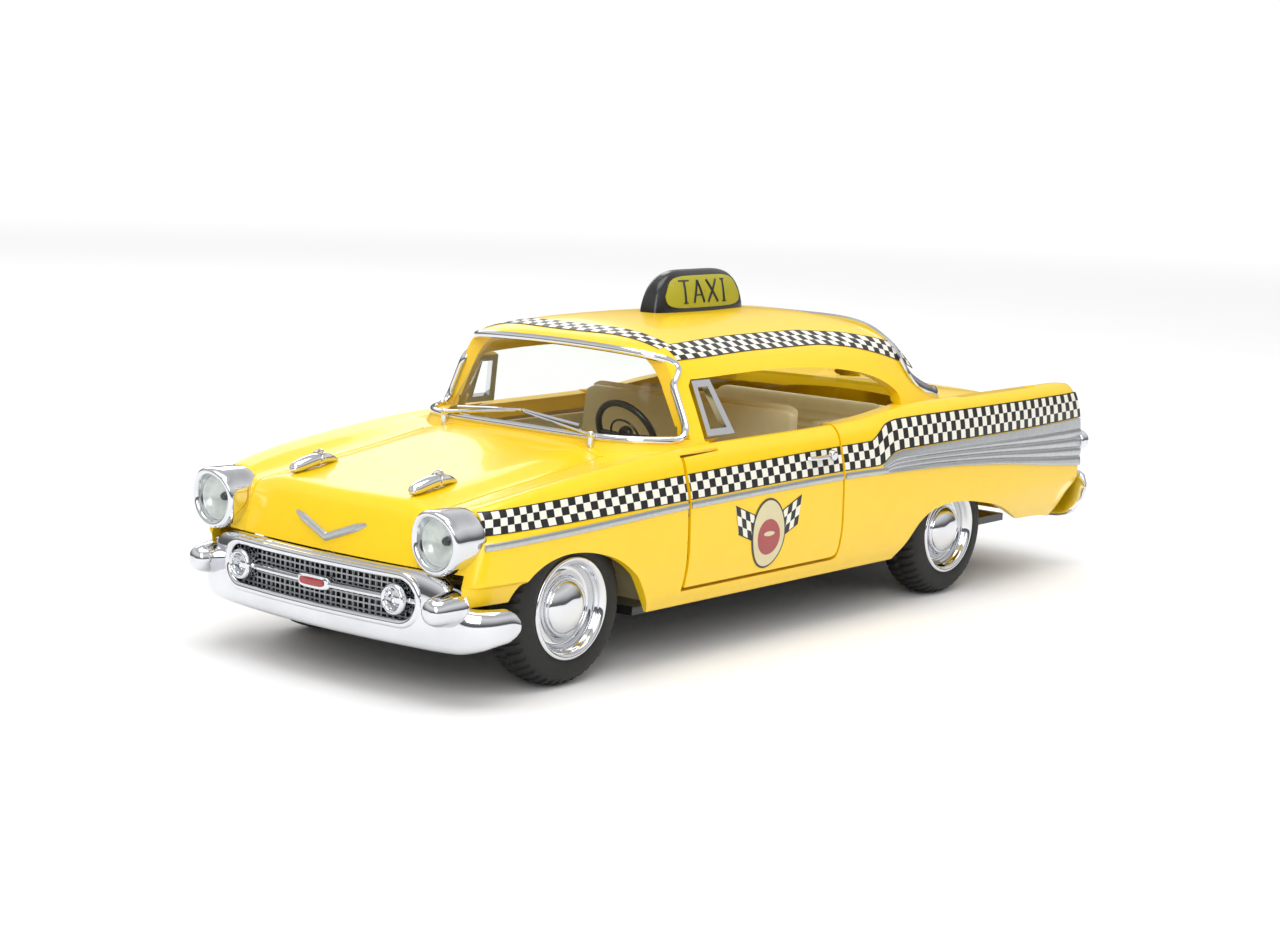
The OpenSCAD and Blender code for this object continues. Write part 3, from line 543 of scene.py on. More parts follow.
SLOT_FINISH = {"paint_yellow": PAINT, "chrome": CHROME, "grille_black": GRILLE, "clear_plastic": CLEAR,
               "red_plastic": RED, "cream_plastic": CREAM, "black_plastic": BLACK, "olive_panel": OLIVE,
               "steel": STEEL, "tyre_rubber": RUBBER, "motor_grey": GREY, "gear_nylon": NYLON}


class Workshop:
    """Keeps one material per finish and dresses, places and reports finished pieces."""

    made: dict[str, bpy.types.Material] = {}

    @classmethod
    def material(cls, finish: Finish) -> bpy.types.Material:
        """The finish's material, made once."""
        if finish.name not in cls.made:
            cls.made[finish.name] = finish.make()
        return cls.made[finish.name]

    @classmethod
    def dress(cls, obj: bpy.types.Object, finish: Finish) -> bpy.types.Object:
        """Gives the whole object the finish."""
        obj.data.materials.clear()
        obj.data.materials.append(cls.material(finish))
        return obj

    @classmethod
    def piece(cls, obj: bpy.types.Object, body: str, slot: str, *nodes: str,
              degrees: float = 32.0) -> bpy.types.Object:
        """Finishes a piece: shading, the body it rides on, and hiding the CAD nodes it stands for.

        Args:
            obj: the piece, already dressed.
            body: CAD body that carries it.
            slot: the piece's material slot; not used.
            nodes: CAD nodes that it replaces.
            degrees: edges sharper than this stay crisp.

        Returns:
            The piece.
        """
        if degrees:
            shade(obj, degrees)
        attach(obj, body)
        if nodes:
            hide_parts(*nodes)
        LOG.info("%s: %d faces on %s", obj.name, len(obj.data.polygons), body)
        return obj


# ------------------------------------------------------------------ stage and camera


@dataclass
class Stage:
    """White paper sheet, soft boxes and the camera, with distances in millimetres."""

    camera_at: tuple = (-223.97, -179.31, 60.69)
    yaw: float = 39.83117
    pitch: float = 8.79685
    roll: float = 2.07263
    lens: float = 64.80

    def build(self) -> None:
        """Builds the whole stage."""
        self.floor()
        self.lights()
        self.world()
        self.camera()
        bpy.context.scene.view_settings.view_transform = "Standard"

    def floor(self) -> None:
        """Flat sheet under the car, fine enough to take a material with grain."""
        x, y = np.meshgrid(np.linspace(-2500, 2500, 9), np.linspace(-2500, 2500, 9))
        sheet = surface("paper_floor", np.stack([x, y, np.full_like(x, -0.05)], axis=-1))
        Workshop.dress(sheet, FLOOR)

    def lights(self) -> None:
        """A broad overhead box, a long near side box and a weaker rear one."""
        boxes = [((-60, -60, 620), (560, 420), 2.1), ((-420, -330, 300), (240, 380), 0.95),
                 ((260, 480, 330), (380, 260), 0.6)]
        for number, (at, size, power) in enumerate(boxes):
            lamp = bpy.data.lights.new(f"soft_box_{number}", "AREA")
            lamp.shape, lamp.size, lamp.size_y, lamp.energy = "RECTANGLE", size[0] * MM, size[1] * MM, power
            holder = bpy.data.objects.new(lamp.name, lamp)
            holder.location = Vector(at) * MM
            holder.rotation_euler = (Vector((0, 0, 15 * MM)) - holder.location).to_track_quat("-Z",
                                                                                              "Y").to_euler()
            bpy.context.collection.objects.link(holder)

    def world(self) -> None:
        """White to the camera; a soft grey gradient with a dim horizon for reflections."""
        world = bpy.data.worlds.new("studio")
        bpy.context.scene.world = world
        world.use_nodes = True
        tree = world.node_tree
        tree.nodes.clear()
        height = add_node(tree, "ShaderNodeSeparateXYZ",
                          {0: add_node(tree, "ShaderNodeTexCoord").outputs["Generated"]})
        ramp = add_node(tree, "ShaderNodeValToRGB", {0: height.outputs[2]})
        stops = [(0.0, 0.5), (0.015, 0.1), (0.12, 0.14), (0.3, 0.55), (0.5, 0.8), (0.75, 0.5), (1.0, 0.85)]
        while len(ramp.color_ramp.elements) < len(stops):
            ramp.color_ramp.elements.new(0.5)
        for element, (at, value) in zip(ramp.color_ramp.elements, stops):
            element.position, element.color = at, (value, value, value, 1)
        seen = add_node(tree, "ShaderNodeLightPath").outputs["Is Camera Ray"]
        colour = add_node(tree, "ShaderNodeMix", {"Factor": seen, 6: ramp.outputs[0], 7: (1, 1, 1, 1)},
                          data_type="RGBA")
        shader = add_node(tree, "ShaderNodeBackground", {0: colour.outputs[2], 1: 1.1})
        add_node(tree, "ShaderNodeOutputWorld", {0: shader.outputs[0]})

    def camera(self) -> None:
        """Camera from yaw, pitch and roll: columns are right, up and backward."""
        yaw, pitch, roll = (math.radians(a) for a in (self.yaw, self.pitch, self.roll))
        look = Vector((math.cos(yaw) * math.cos(pitch), math.sin(yaw) * math.cos(pitch), -math.sin(pitch)))
        side = Vector((math.sin(yaw), -math.cos(yaw), 0))
        top = side.cross(look)
        right = side * math.cos(roll) + top * math.sin(roll)
        up = top * math.cos(roll) - side * math.sin(roll)
        data = bpy.data.cameras.new("camera")
        data.lens, data.sensor_width, data.clip_start, data.clip_end = self.lens, 36, 0.005, 20
        holder = bpy.data.objects.new("camera", data)
        turn = Matrix((right, up, -look)).transposed().to_4x4()
        holder.matrix_world = Matrix.Translation(Vector(self.camera_at) * MM) @ turn
        bpy.context.collection.objects.link(holder)
        bpy.context.scene.camera = holder


# ------------------------------------------------------------------ body casting


@dataclass(frozen=True)
class BodyLines:
    """Design lines of the lower body: (x, value) pairs from nose to tail, in millimetres."""

    half_width: float = 22.7
    waist: tuple = ((-62, -2.1), (-56, -1.1), (-44, -0.4), (-25, -0.1), (10, 0), (28, 0.1), (42, -0.1),
                    (55, -0.7), (62, -1.3))
    edge: tuple = ((-62, 10.5), (-53, 10.5), (-50, 6.5), (14, 6.5), (46, 8.2), (62, 7.2))
    trim: tuple = ((-62, 16.6), (-44, 17.4), (-27, 18.2), (12, 18.3), (36, 17), (62, 14.2))
    crown: tuple = ((-62, 19.6), (-58, 20.7), (-50, 21.8), (-40, 23), (-30, 23.9), (-20, 24.3), (0, 24.5),
                    (8, 24.8),
                    (16, 25.6), (24, 26), (40, 26.1), (56, 26), (62, 25.4))
    valley: tuple = ((-62, 19.2), (-58, 19.6), (-50, 20.6), (-40, 21.9), (-34, 22.8), (-28, 23.7), (20, 24.6),
                     (36, 24.4), (50, 23.6), (62, 21.8))
    ridge: tuple = ((-62, 19.8), (-58, 20.5), (-53, 21.1), (-44, 22.3), (-34, 23.7), (-28, 24.4), (30, 25.4),
                    (40, 25.2), (50, 24.4), (62, 22.3))
    middle: tuple = ((-62, 19.9), (-58, 20.4), (-53, 21), (-44, 22.2), (-34, 23.9), (-28, 24.7), (30, 25.8),
                     (40, 25.5), (50, 24.7), (62, 22.6))
    tail: tuple = ((6.5, 56), (10.5, 59), (12.7, 61.7), (16, 62.1), (20, 62.2), (26, 61.2))
    nose_x: float = -60.0
    tail_x: float = 61.0
    centre_z: float = 12.0

    def section(self, x: Array, inset: Array, drop: float = 0.0, fine: int = 9) -> Array:
        """Right half of the section at each x: a monotone cubic through eleven design points, edge to middle.

        Args:
            x: stations.
            inset: how far the surface is set in at each station.
            drop: how far the lower edge is moved down.
            fine: samples between two design points.

        Returns:
            Points as (stations, samples, 3), before the ends are bowed.
        """
        i = np.broadcast_to(np.asarray(inset, float), x.shape)
        w = self.half_width + smooth_line(self.waist, x)
        e, t, c, v, r, m = (smooth_line(line, x) for line in
                            (self.edge, self.trim, self.crown, self.valley, self.ridge, self.middle))
        knots_y = [w - 1.6 - i, w - 0.6 - i, w + 0.1 - i, w - i, w - 0.6 - i, w - 1.2 - i, w - 2.4 - i,
                   w - 4.2 - i,
                   14.2 - i, 9.4 - i, 0 * x, i - 9.4]
        knots_z = [e - drop, e + 2, 13 + 0 * x, t, c - 3, c - 1 - i, c - i, c - 0.3 - i, v - i, r - i, m - i,
                   r - i]
        at = np.linspace(0, 10, 10 * fine + 1)
        y, z = smooth_rows(np.stack(knots_y, -1), at), smooth_rows(np.stack(knots_z, -1), at)
        return np.stack([np.broadcast_to(x[:, None], y.shape), y, z], axis=-1)

    def place(self, p: Array) -> Array:
        """Bows both ends: x + ahead * (face - nose) + behind * (rear face - tail), both fading inward."""
        x, y, z = p[..., 0], p[..., 1], p[..., 2]
        face = -59.2 + 0.0035 * y * y - 0.29 * (19.7 - np.maximum(z, self.centre_z))
        rear = smooth_line(self.tail, z)
        ahead = np.maximum(0, 1 - (x - self.nose_x) / 10)
        behind = np.maximum(0, 1 - (self.tail_x - x) / 8)
        moved = x + ahead * (face - self.nose_x) + behind * (rear - self.tail_x)
        return np.stack([moved, y, z], axis=-1)

    def solid(self, name: str, inset: float = 0.0, ends: float = 0.0, drop: float = 0.0,
              fillet: float = 1.3) -> bpy.types.Object:
        """Closed solid of the lower body: rounded ends, closed by rings that shrink to the middle.

        Args:
            name: object name.
            inset: how far every surface is set in.
            ends: how far the end faces are set in.
            drop: how far the lower edge is moved down.
            fillet: radius round both end faces.

        Returns:
            The object.
        """
        front, back = self.nose_x + ends, self.tail_x - ends
        turn = np.linspace(math.pi / 2, 0, 7)
        fore = front + fillet * (1 - np.sin(turn))
        body = np.linspace(front + fillet, back - fillet, 170)[1:-1]
        aft = back - (fore - front)[::-1]
        x = np.concatenate([fore, body, aft])
        round_in = fillet * (1 - np.cos(turn))
        grow = np.concatenate([round_in, np.zeros(len(body)), round_in[::-1]])
        half = self.section(x, inset + grow, drop)
        mirrored = half[:, -2::-1] * np.array([1, -1, 1])
        ring = np.concatenate([half, mirrored], axis=1)
        share = np.linspace(0, 1, 12)[:-1, None, None]
        hub = np.array([0.0, 0.0, self.centre_z])

        def cap(row: Array) -> Array:
            """Rings that close one end from its middle out to the last section."""
            flat = hub[1:] + share * (row[None, :, 1:] - hub[1:])
            return np.concatenate([row[None, :, :1] + 0 * share, flat], axis=-1)

        grid = np.concatenate([cap(ring[0]), ring, cap(ring[-1])[::-1]])
        obj = surface(name, self.place(grid), wrap_columns=True)
        outward(obj)
        return obj


@dataclass(frozen=True)
class CabinLines:
    """Levels of the glasshouse: front x, rear x, half width, side z, extra z at both ends, squareness."""

    levels: tuple = ((-32.4, 37.6, 20.9, 23.2, 0, 5), (-31.5, 36, 20.4, 24.6, 0, 5),
                     (-29, 30, 18.9, 29, 0.2, 5),
                     (-26.6, 24.5, 17.2, 32.4, 0.9, 6), (-25.6, 22, 16.3, 33.4, 1.3, 6),
                     (-23.6, 19.5, 14.6, 34.2, 1.5, 5), (-18, 15, 10.5, 35.7, 0.9, 4),
                     (-9, 8, 5, 36.8, 0.2, 3))
    middle: float = 1.5

    def ring(self, row: tuple, inset: float, drop: float, angle: Array) -> Array:
        """Superellipse level: radius 1 / (|cos|^s + |sin|^s)^(1/s), raised at both ends by |x share|^s."""
        front, rear, half, side, extra, s = row
        size = (np.abs(np.cos(angle)) ** s + np.abs(np.sin(angle)) ** s) ** (-1 / s)
        c, n = np.cos(angle) * size, np.sin(angle) * size
        reach = np.where(c < 0, self.middle - front, rear - self.middle) - inset
        return np.stack([self.middle + reach * c, (half - inset) * n, side + extra * np.abs(c) ** s - drop],
                        axis=-1)

    def solid(self, name: str, inset: float = 0.0, drop: float = 0.0, around: int = 180,
              fine: int = 8) -> bpy.types.Object:
        """Closed dome through the levels, smooth from one to the next, closed below by a fan.

        Args:
            name: object name.
            inset: how far the side is set in.
            drop: how far every level is lowered.
            around: samples round a level.
            fine: samples between two levels.

        Returns:
            The object.
        """
        angle = np.linspace(0, 2 * math.pi, around, endpoint=False)
        rings = [self.ring(row, inset, drop, angle) for row in self.levels]
        top = np.broadcast_to(rings[-1].mean(axis=0) + [0, 0, 0.12], rings[-1].shape)
        knots = np.stack([*rings, top])
        at = np.linspace(0, len(self.levels), len(self.levels) * fine + 1)
        grid = np.moveaxis(smooth_rows(np.moveaxis(knots, 0, -1), at), -1, 0)
        foot = np.broadcast_to(rings[0].mean(axis=0), rings[0].shape)
        obj = surface(name, np.concatenate([foot[None], grid]), wrap_columns=True)
        outward(obj)
        return obj


BODY = BodyLines()
CABIN = CabinLines()
WINDSHIELD = spline([(-19.5, 24.75), (0, 24.75), (19.5, 24.75), (21.1, 25.1), (21.1, 26.6), (20.1, 29),
                     (18.4, 31.6),
                     (16.9, 32.8), (14.5, 33.6), (8, 34.2), (0, 34.4), (-8, 34.2), (-14.5, 33.6),
                     (-16.9, 32.8),
                     (-18.4, 31.6), (-20.1, 29), (-21.1, 26.6), (-21.1, 25.1)], 8, closed=True)
REAR_CUT = spline([(21.4, 36), (21.4, 33), (21.5, 31), (22.6, 29), (25.8, 27.2), (30.4, 25.9)], 8)
SIDE_WINDOW = np.vstack([[(-21.4, 24.4), (-21.6, 30.5)],
                         spline([(-21.1, 31.2), (-12, 31.5), (-3, 31.5), (5, 31), (11.5, 30), (15.5, 28.7),
                                 (17.8, 27.2), (18, 25.8)], 8), [(10, 25), (4, 24.6)]])
FRONT_ARCH = spline([(-53.9, 5), (-53.8, 8), (-53.6, 10.8), (-52.6, 12.7), (-50.7, 14), (-48.7, 14.7),
                     (-46.4, 15),
                     (-43.7, 14.8), (-40.7, 14.1), (-38.5, 13.2), (-36.5, 11.9), (-35.1, 10.6), (-32.3, 6.7),
                     (-31.5, 5)], 5)
REAR_ARCH = spline([(14.5, 5), (16.3, 7.3), (17.6, 8.8), (19.3, 10.8), (21.3, 12), (23.9, 12.6), (26.6, 12.8),
                    (30.3, 12.6), (34.1, 12), (39.3, 10.9), (45.7, 8.4), (47, 7.9), (47, 5)], 5)
DOOR_FRONT, DOOR_REAR, DOOR_LOW, DOOR_TOP = -27.0, 2.0, 8.7, 24.9
LAMP_AT = (-60.6, 17.3, 17.2)
TAIL_AT = (62.4, 20.6, 17.6)
HINGE = (-26.1, 21.5)
LUG_Z = (12.4, 17.0)


def box_tool(low: Sequence[float], high: Sequence[float]) -> bpy.types.Object:
    """Closed box for cutting, from its low corner to its high corner."""
    outline = np.array([(low[0], low[2]), (high[0], low[2]), (high[0], high[2]), (low[0], high[2])])
    return prism("tool", outline, low[1], high[1])


def door_room(side: Side, front: float, rear: float, low: float, inner: float) -> bpy.types.Object:
    """Room that a door takes, grown by the gaps: rounded rear corner, less the pillar's foot.

    Args:
        side: side of the car.
        front: gap at the hinged edge.
        rear: gap at the rear edge.
        low: gap at the lower edge.
        inner: gap behind the door.

    Returns:
        The closed tool.
    """
    corner = spline([(DOOR_REAR - 1.2 + rear, DOOR_LOW - low), (DOOR_REAR - 0.3 + rear, DOOR_LOW + 0.3 - low),
                     (DOOR_REAR + rear, DOOR_LOW + 1.2 - low)], 6)
    outline = np.vstack([[(DOOR_FRONT - front, DOOR_TOP), (DOOR_FRONT - front, DOOR_LOW - low)], corner,
                         [(DOOR_REAR + rear, DOOR_TOP)]])
    near, far = 19 - inner, 30
    low_y, high_y = sorted((side.value * near, side.value * far))
    room = prism("door_room", outline, low_y, high_y)
    foot = sorted((0, side.value * (21.25 - inner)))
    combine(room, box_tool((-32, foot[0], 23.2 + inner), (-20.8, foot[1], 40)))
    return room


class BodyCasting:
    """The one-piece painted casting: lower body and glasshouse, hollow, with every opening cut."""

    def __init__(self) -> None:
        """Makes the uncut outer skins that trim and prints are laid on."""
        self.lower_skin = BODY.solid("lower_skin")
        self.cabin_skin = CABIN.solid("cabin_skin")
        self.inner = BODY.solid("inner_skin", inset=1.0, ends=1.2, drop=3.0, fillet=0.5)

    def copy(self, obj: bpy.types.Object, name: str) -> bpy.types.Object:
        """Copy of an object with its own mesh."""
        made = bpy.data.objects.new(name, obj.data.copy())
        bpy.context.collection.objects.link(made)
        return made

    def build(self) -> bpy.types.Object:
        """Builds the casting.

        Returns:
            The finished piece.
        """
        shell = self.copy(self.lower_skin, "body_casting")
        combine(shell, self.cabin_skin, "UNION", keep=True)
        combine(shell, self.inner, keep=True)
        combine(shell, CABIN.solid("tool", inset=1.1, drop=1.0))
        angle = np.linspace(0, 2 * math.pi, 90, endpoint=False)
        hole = CABIN.ring(CABIN.levels[1], 1.7, 0, angle)[:, :2]
        combine(shell, prism("tool", hole, 20, 26, "z"))
        combine(shell, prism("tool", WINDSHIELD, -45, -23.4, "x"))
        combine(shell, prism("tool", np.vstack([REAR_CUT, [(50, 25.9), (50, 36)]]), -30, 30))
        for side in Side:
            self.cut_side(shell, side)
        combine(shell, box_tool((-70, -19.5, 0), (-57, 19.5, 13.9)))
        self.cut_panel_lines(shell)
        Workshop.dress(shell, PAINT)
        return Workshop.piece(shell, "car", "paint_yellow", "body_shell")

    def cut_side(self, shell: bpy.types.Object, side: Side) -> None:
        """Cuts one side's window, arches, door room and lamp seats."""
        s = side.value
        span = sorted((10 * s, 40 * s))
        combine(shell, prism("tool", SIDE_WINDOW, *span))
        for arch in (FRONT_ARCH, REAR_ARCH):
            combine(shell, prism("tool", arch, *sorted((13 * s, 40 * s))))
        combine(shell, door_room(side, 0.5, 0.4, 0.4, 0.3))
        x, y, z = LAMP_AT
        bore = np.array([(0.01, -10), (3.3, -10), (3.3, 3.2), (0.01, 3.2)])
        combine(shell, lathe("tool", bore, 64, (x, y * s, z), "x"))
        x, y, z = TAIL_AT
        combine(shell, lathe("tool", np.array([(0.01, -1.2), (1.45, -1.2), (1.45, 5), (0.01, 5)]), 40,
                             (x, y * s, z), "x"))

    def cut_panel_lines(self, shell: bpy.types.Object) -> None:
        """Cuts the hood's and boot lid's gaps as round grooves whose centre line lies on the skin."""
        for s in (-1, 1):
            x = np.linspace(-59, -32.5, 60)
            path = self.drop(np.stack([x, s * (13.6 + 0.5 * (x + 59) / 26), 0 * x + 40], -1), (0, 0, -1))
            combine(shell, tube("tool", path, 0.16, 8))
            z = np.linspace(13, 19.4, 24)
            path = self.drop(np.stack([0 * z - 80, 0 * z + 13.6 * s, z], -1), (1, 0, 0))
            combine(shell, tube("tool", path, 0.16, 8, up=(0, 1, 0)))
            x = np.linspace(38.5, 60.5, 50)
            path = self.drop(np.stack([x, s * (13.4 + 0 * x), 0 * x + 40], -1), (0, 0, -1))
            combine(shell, tube("tool", path, 0.14, 8))
        for at, reach in ((-32.9, 14.2), (38.5, 13.4)):
            y = np.linspace(-reach, reach, 50)
            path = self.drop(np.stack([at + 0.0045 * (y * y - reach**2) * math.copysign(1, -at) * -1, y,
                                       0 * y + 40], -1), (0, 0, -1))
            combine(shell, tube("tool", path, 0.15, 8))

    def drop(self, points: Array, way: Sequence[float], skin: Optional[bpy.types.Object] = None) -> Array:
        """Moves each path point along a direction onto a skin.

        Args:
            points: path points.
            way: direction to move in.
            skin: skin to land on; the lower body's if none is given.

        Returns:
            The points that land.
        """
        skin = skin or self.lower_skin
        hits = [skin.ray_cast(Vector(p) * MM, Vector(way)) for p in points]
        return np.array([tuple(h[1]) for h in hits if h[0]]) / MM

    def tidy_up(self) -> None:
        """Throws the skins away once everything is laid on them."""
        throw_away(self.lower_skin, self.cabin_skin, self.inner)


class Door:
    """One painted door cut from the same skin, hollow behind, with pockets for the hinge lugs."""

    def __init__(self, casting: BodyCasting, side: Side) -> None:
        """Takes the casting's skins."""
        self.casting, self.side = casting, side

    def build(self) -> bpy.types.Object:
        """Builds the door.

        Returns:
            The finished piece.
        """
        s = self.side.value
        door = self.casting.copy(self.casting.lower_skin, f"door_panel_{self.side.word}")
        combine(door, door_room(self.side, 0, 0, 0, 0), "INTERSECT")
        combine(door, BODY.solid("tool", inset=1.8, ends=1.2, drop=3.0, fillet=0.5))
        for z in LUG_Z:
            span = sorted((s * (HINGE[1] - 4), s * (HINGE[1] + 0.85)))
            combine(door, box_tool((HINGE[0] - 2, span[0], z - 0.35), (HINGE[0] + 0.95, span[1], z + 1.55)))
        Workshop.dress(door, PAINT)
        return Workshop.piece(door, f"door_{self.side.word}", "paint_yellow", f"door_{self.side.word}")


class Glass:
    """Clear moulding behind the windshield and rear window openings."""

    def build(self) -> None:
        """Builds both panes from one thin dome."""
        for name, low, high in (("windshield", (-45, -30, 24.85), (-22.9, 30, 40)),
                                ("rear_window", (20.2, -30, 25.95), (42, 30, 40))):
            pane = CABIN.solid(f"{name}_pane", inset=1.12, drop=1.02)
            combine(pane, CABIN.solid("tool", inset=1.6, drop=1.5))
            combine(pane, box_tool(low, high), "INTERSECT")
            Workshop.dress(pane, CLEAR)
            Workshop.piece(pane, "car", "clear_plastic", name)


# ------------------------------------------------------------------ prints on the body


class SideMap:
    """Half width of the skin over a table of stations and heights, read between its points."""

    def __init__(self) -> None:
        """Works out the table from the body's sections."""
        self.x = np.linspace(-60, 61, 243)
        self.z = np.linspace(8, 26, 145)
        half = BODY.section(self.x, 0.0)
        top = np.argmax(half[..., 2], axis=1)
        self.y = np.array([np.interp(self.z, h[: k + 1, 2], h[: k + 1, 1]) for h, k in zip(half, top)])

    def lay(self, x: Array, z: Array, side: Side, lift: float) -> Array:
        """Points on one side: y is bilinear in the table, plus the lift, then the ends are bowed.

        Args:
            x: stations.
            z: heights.
            side: side of the car.
            lift: height above the skin.

        Returns:
            Points with the last axis added.
        """
        u = np.clip((x - self.x[0]) / (self.x[1] - self.x[0]), 0, len(self.x) - 1.001)
        v = np.clip((z - self.z[0]) / (self.z[1] - self.z[0]), 0, len(self.z) - 1.001)
        i, j = u.astype(int), v.astype(int)
        a, b = u - i, v - j
        y = ((1 - a) * (1 - b) * self.y[i, j] + a * (1 - b) * self.y[i + 1, j]
             + (1 - a) * b * self.y[i, j + 1] + a * b * self.y[i + 1, j + 1])
        return BODY.place(np.stack([x, side.value * (y + lift), z], axis=-1))


SIDE_MAP = SideMap()


def sheet(name: str, grid: Array, finish: Finish, uv: Optional[Array] = None,
          thick: float = 0.05) -> bpy.types.Object:
    """Printed or stamped sheet over a grid of points, made solid towards the inside.

    Args:
        name: object's name.
        grid: rows and columns of points on the outer face.
        finish: finish of the sheet.
        uv: pattern coordinate of each point.
        thick: thickness.

    Returns:
        The object.
    """
    obj = surface(name, grid, uv=uv)
    normal = np.cross(grid[1, 0] - grid[0, 0], grid[0, 1] - grid[0, 0])
    middle = grid.reshape(-1, 3).mean(axis=0) - np.array([grid[..., 0].mean(), 0, 12])
    if np.dot(normal, middle) > 0:
        obj.data.flip_normals()
    apply(obj, "SOLIDIFY", thickness=thick * MM, offset=-1.0)
    return Workshop.dress(obj, finish)


@dataclass
class Prints:
    """Checker bands, silver line, ribbed spear and door roundel, each split at the door's gaps."""

    low: tuple = ((-62.3, 17.8), (-27.7, 18.7), (1.7, 19.15), (9.6, 19.1), (10.6, 19.3), (11.7, 19.8),
                  (13.3, 20.5),
                  (15.4, 20.7), (26.9, 20.8), (45.9, 20.85), (61, 21.05))
    high: tuple = ((-62.3, 20.1), (-27.7, 21.5), (1.7, 22.15), (8.4, 22.25), (9.3, 22.5), (10.3, 23.1),
                   (12.1, 24.1),
                   (14.6, 24.5), (22, 24.6), (35.7, 24.6), (61, 24.55))
    line: tuple = ((-62, 16.7), (-44, 17.4), (-27, 18.1), (2, 18.5), (9, 18.4), (13, 18.3))
    spear_low: tuple = ((10.5, 18.05), (22.7, 17.7), (36.6, 16.8), (46.5, 15.8), (61, 14.2))
    square: float = 1.08

    def build(self) -> None:
        """Builds the prints of both sides."""
        for side in Side:
            door = f"door_{side.word}"
            for name, body, start, end in (("fender", "car", -59.6, -27.55), ("door", door, -26.95, 1.95),
                                           ("quarter", "car", 2.5, 60.4)):
                self.band(side, name, body, start, end)
                if name != "quarter":
                    self.rod(side, name, body, start, end)
            self.rod(side, "quarter", "car", 2.5, 11.5)
            self.spear(side)
            self.roundel(side, door)

    def band(self, side: Side, name: str, body: str, start: float, end: float) -> None:
        """Lays one length of checker band, with a pattern unit per square along it and three rows."""
        x, v = np.meshgrid(np.arange(start, end + 0.01, (end - start) / round((end - start) / 0.36)),
                           np.linspace(0, 1, 13))
        low, high = smooth_line(self.low, x), smooth_line(self.high, x)
        uv = np.stack([(x + 70) / self.square, 3 * v], axis=-1)
        grid = SIDE_MAP.lay(x, low + v * (high - low), side, 0.07)
        Workshop.piece(sheet(f"checker_band_{name}_{side.word}", grid, CHECK, uv), body, "black_plastic",
                       degrees=60)

    def rod(self, side: Side, name: str, body: str, start: float, end: float) -> None:
        """Half-round silver line along the side."""
        x = np.linspace(start, end, 90)
        path = SIDE_MAP.lay(x, smooth_line(self.line, x), side, 0.02)
        rod = tube(f"silver_line_{name}_{side.word}", path, 0.4, 10, 0.45, up=(0, side.value, 0))
        Workshop.piece(Workshop.dress(rod, FOIL), body, "chrome")

    def spear(self, side: Side) -> None:
        """Ribbed silver panel between the band and its own lower line: five ribs fan out from the tip."""
        x, v = np.meshgrid(np.linspace(10.6, 60.2, 240), np.linspace(0, 1, 61))
        low, high = smooth_line(self.spear_low, x), smooth_line(self.low, x) - 0.12
        fade = np.clip((x - 12) / 8, 0, 1)
        rib = np.abs(np.sin(np.pi * 5 * v)) ** 0.6 * (0.05 + 0.17
                                                      * fade) + 0.1 * np.exp(-((v - 0.02) / 0.04) ** 2)
        grid = SIDE_MAP.lay(x, low + v * (high - low), side,
                            0.05 + rib * (v < 0.8) + 0.12 * fade * (v >= 0.8))
        Workshop.piece(sheet(f"ribbed_spear_{side.word}", grid, FOIL, thick=0.3), "car", "chrome", degrees=75)

    def roundel(self, side: Side, body: str) -> None:
        """Plain oval badge: dark rim, cream field, red disc with a cream bar, two checker pennants."""
        at_x, at_z = -12.7, 13.3
        parts = []
        for flag in (-1, 1):
            u, v = np.meshgrid(np.linspace(0, 5, 26), np.linspace(0, 3, 16))
            reach = 2.0 + 0.86 * u
            x = at_x + flag * (reach - 0.22 * v)
            z = at_z + 0.5 + 0.34 * u - 1.15 * (v - 1.5)
            parts.append(sheet("part", SIDE_MAP.lay(x, z, side, 0.06), CHECK, np.stack([u, v], -1)))
        for a, b, lift, finish in ((3.2, 4.15, 0.09, BLACK), (2.95, 3.9, 0.12, CREAM), (2.1, 2.1, 0.15, RED),
                                   (1.0, 0.28, 0.18, CREAM)):
            r, t = np.meshgrid(np.linspace(0.02, 1, 10), np.linspace(0, 2 * math.pi, 65))
            grid = SIDE_MAP.lay(at_x + a * r * np.cos(t), at_z - 0.4 * (a == b) + b * r * np.sin(t), side,
                                lift)
            parts.append(sheet("part", grid, finish))
        Workshop.piece(join(f"door_roundel_{side.word}", parts), body, "olive_panel", degrees=60)


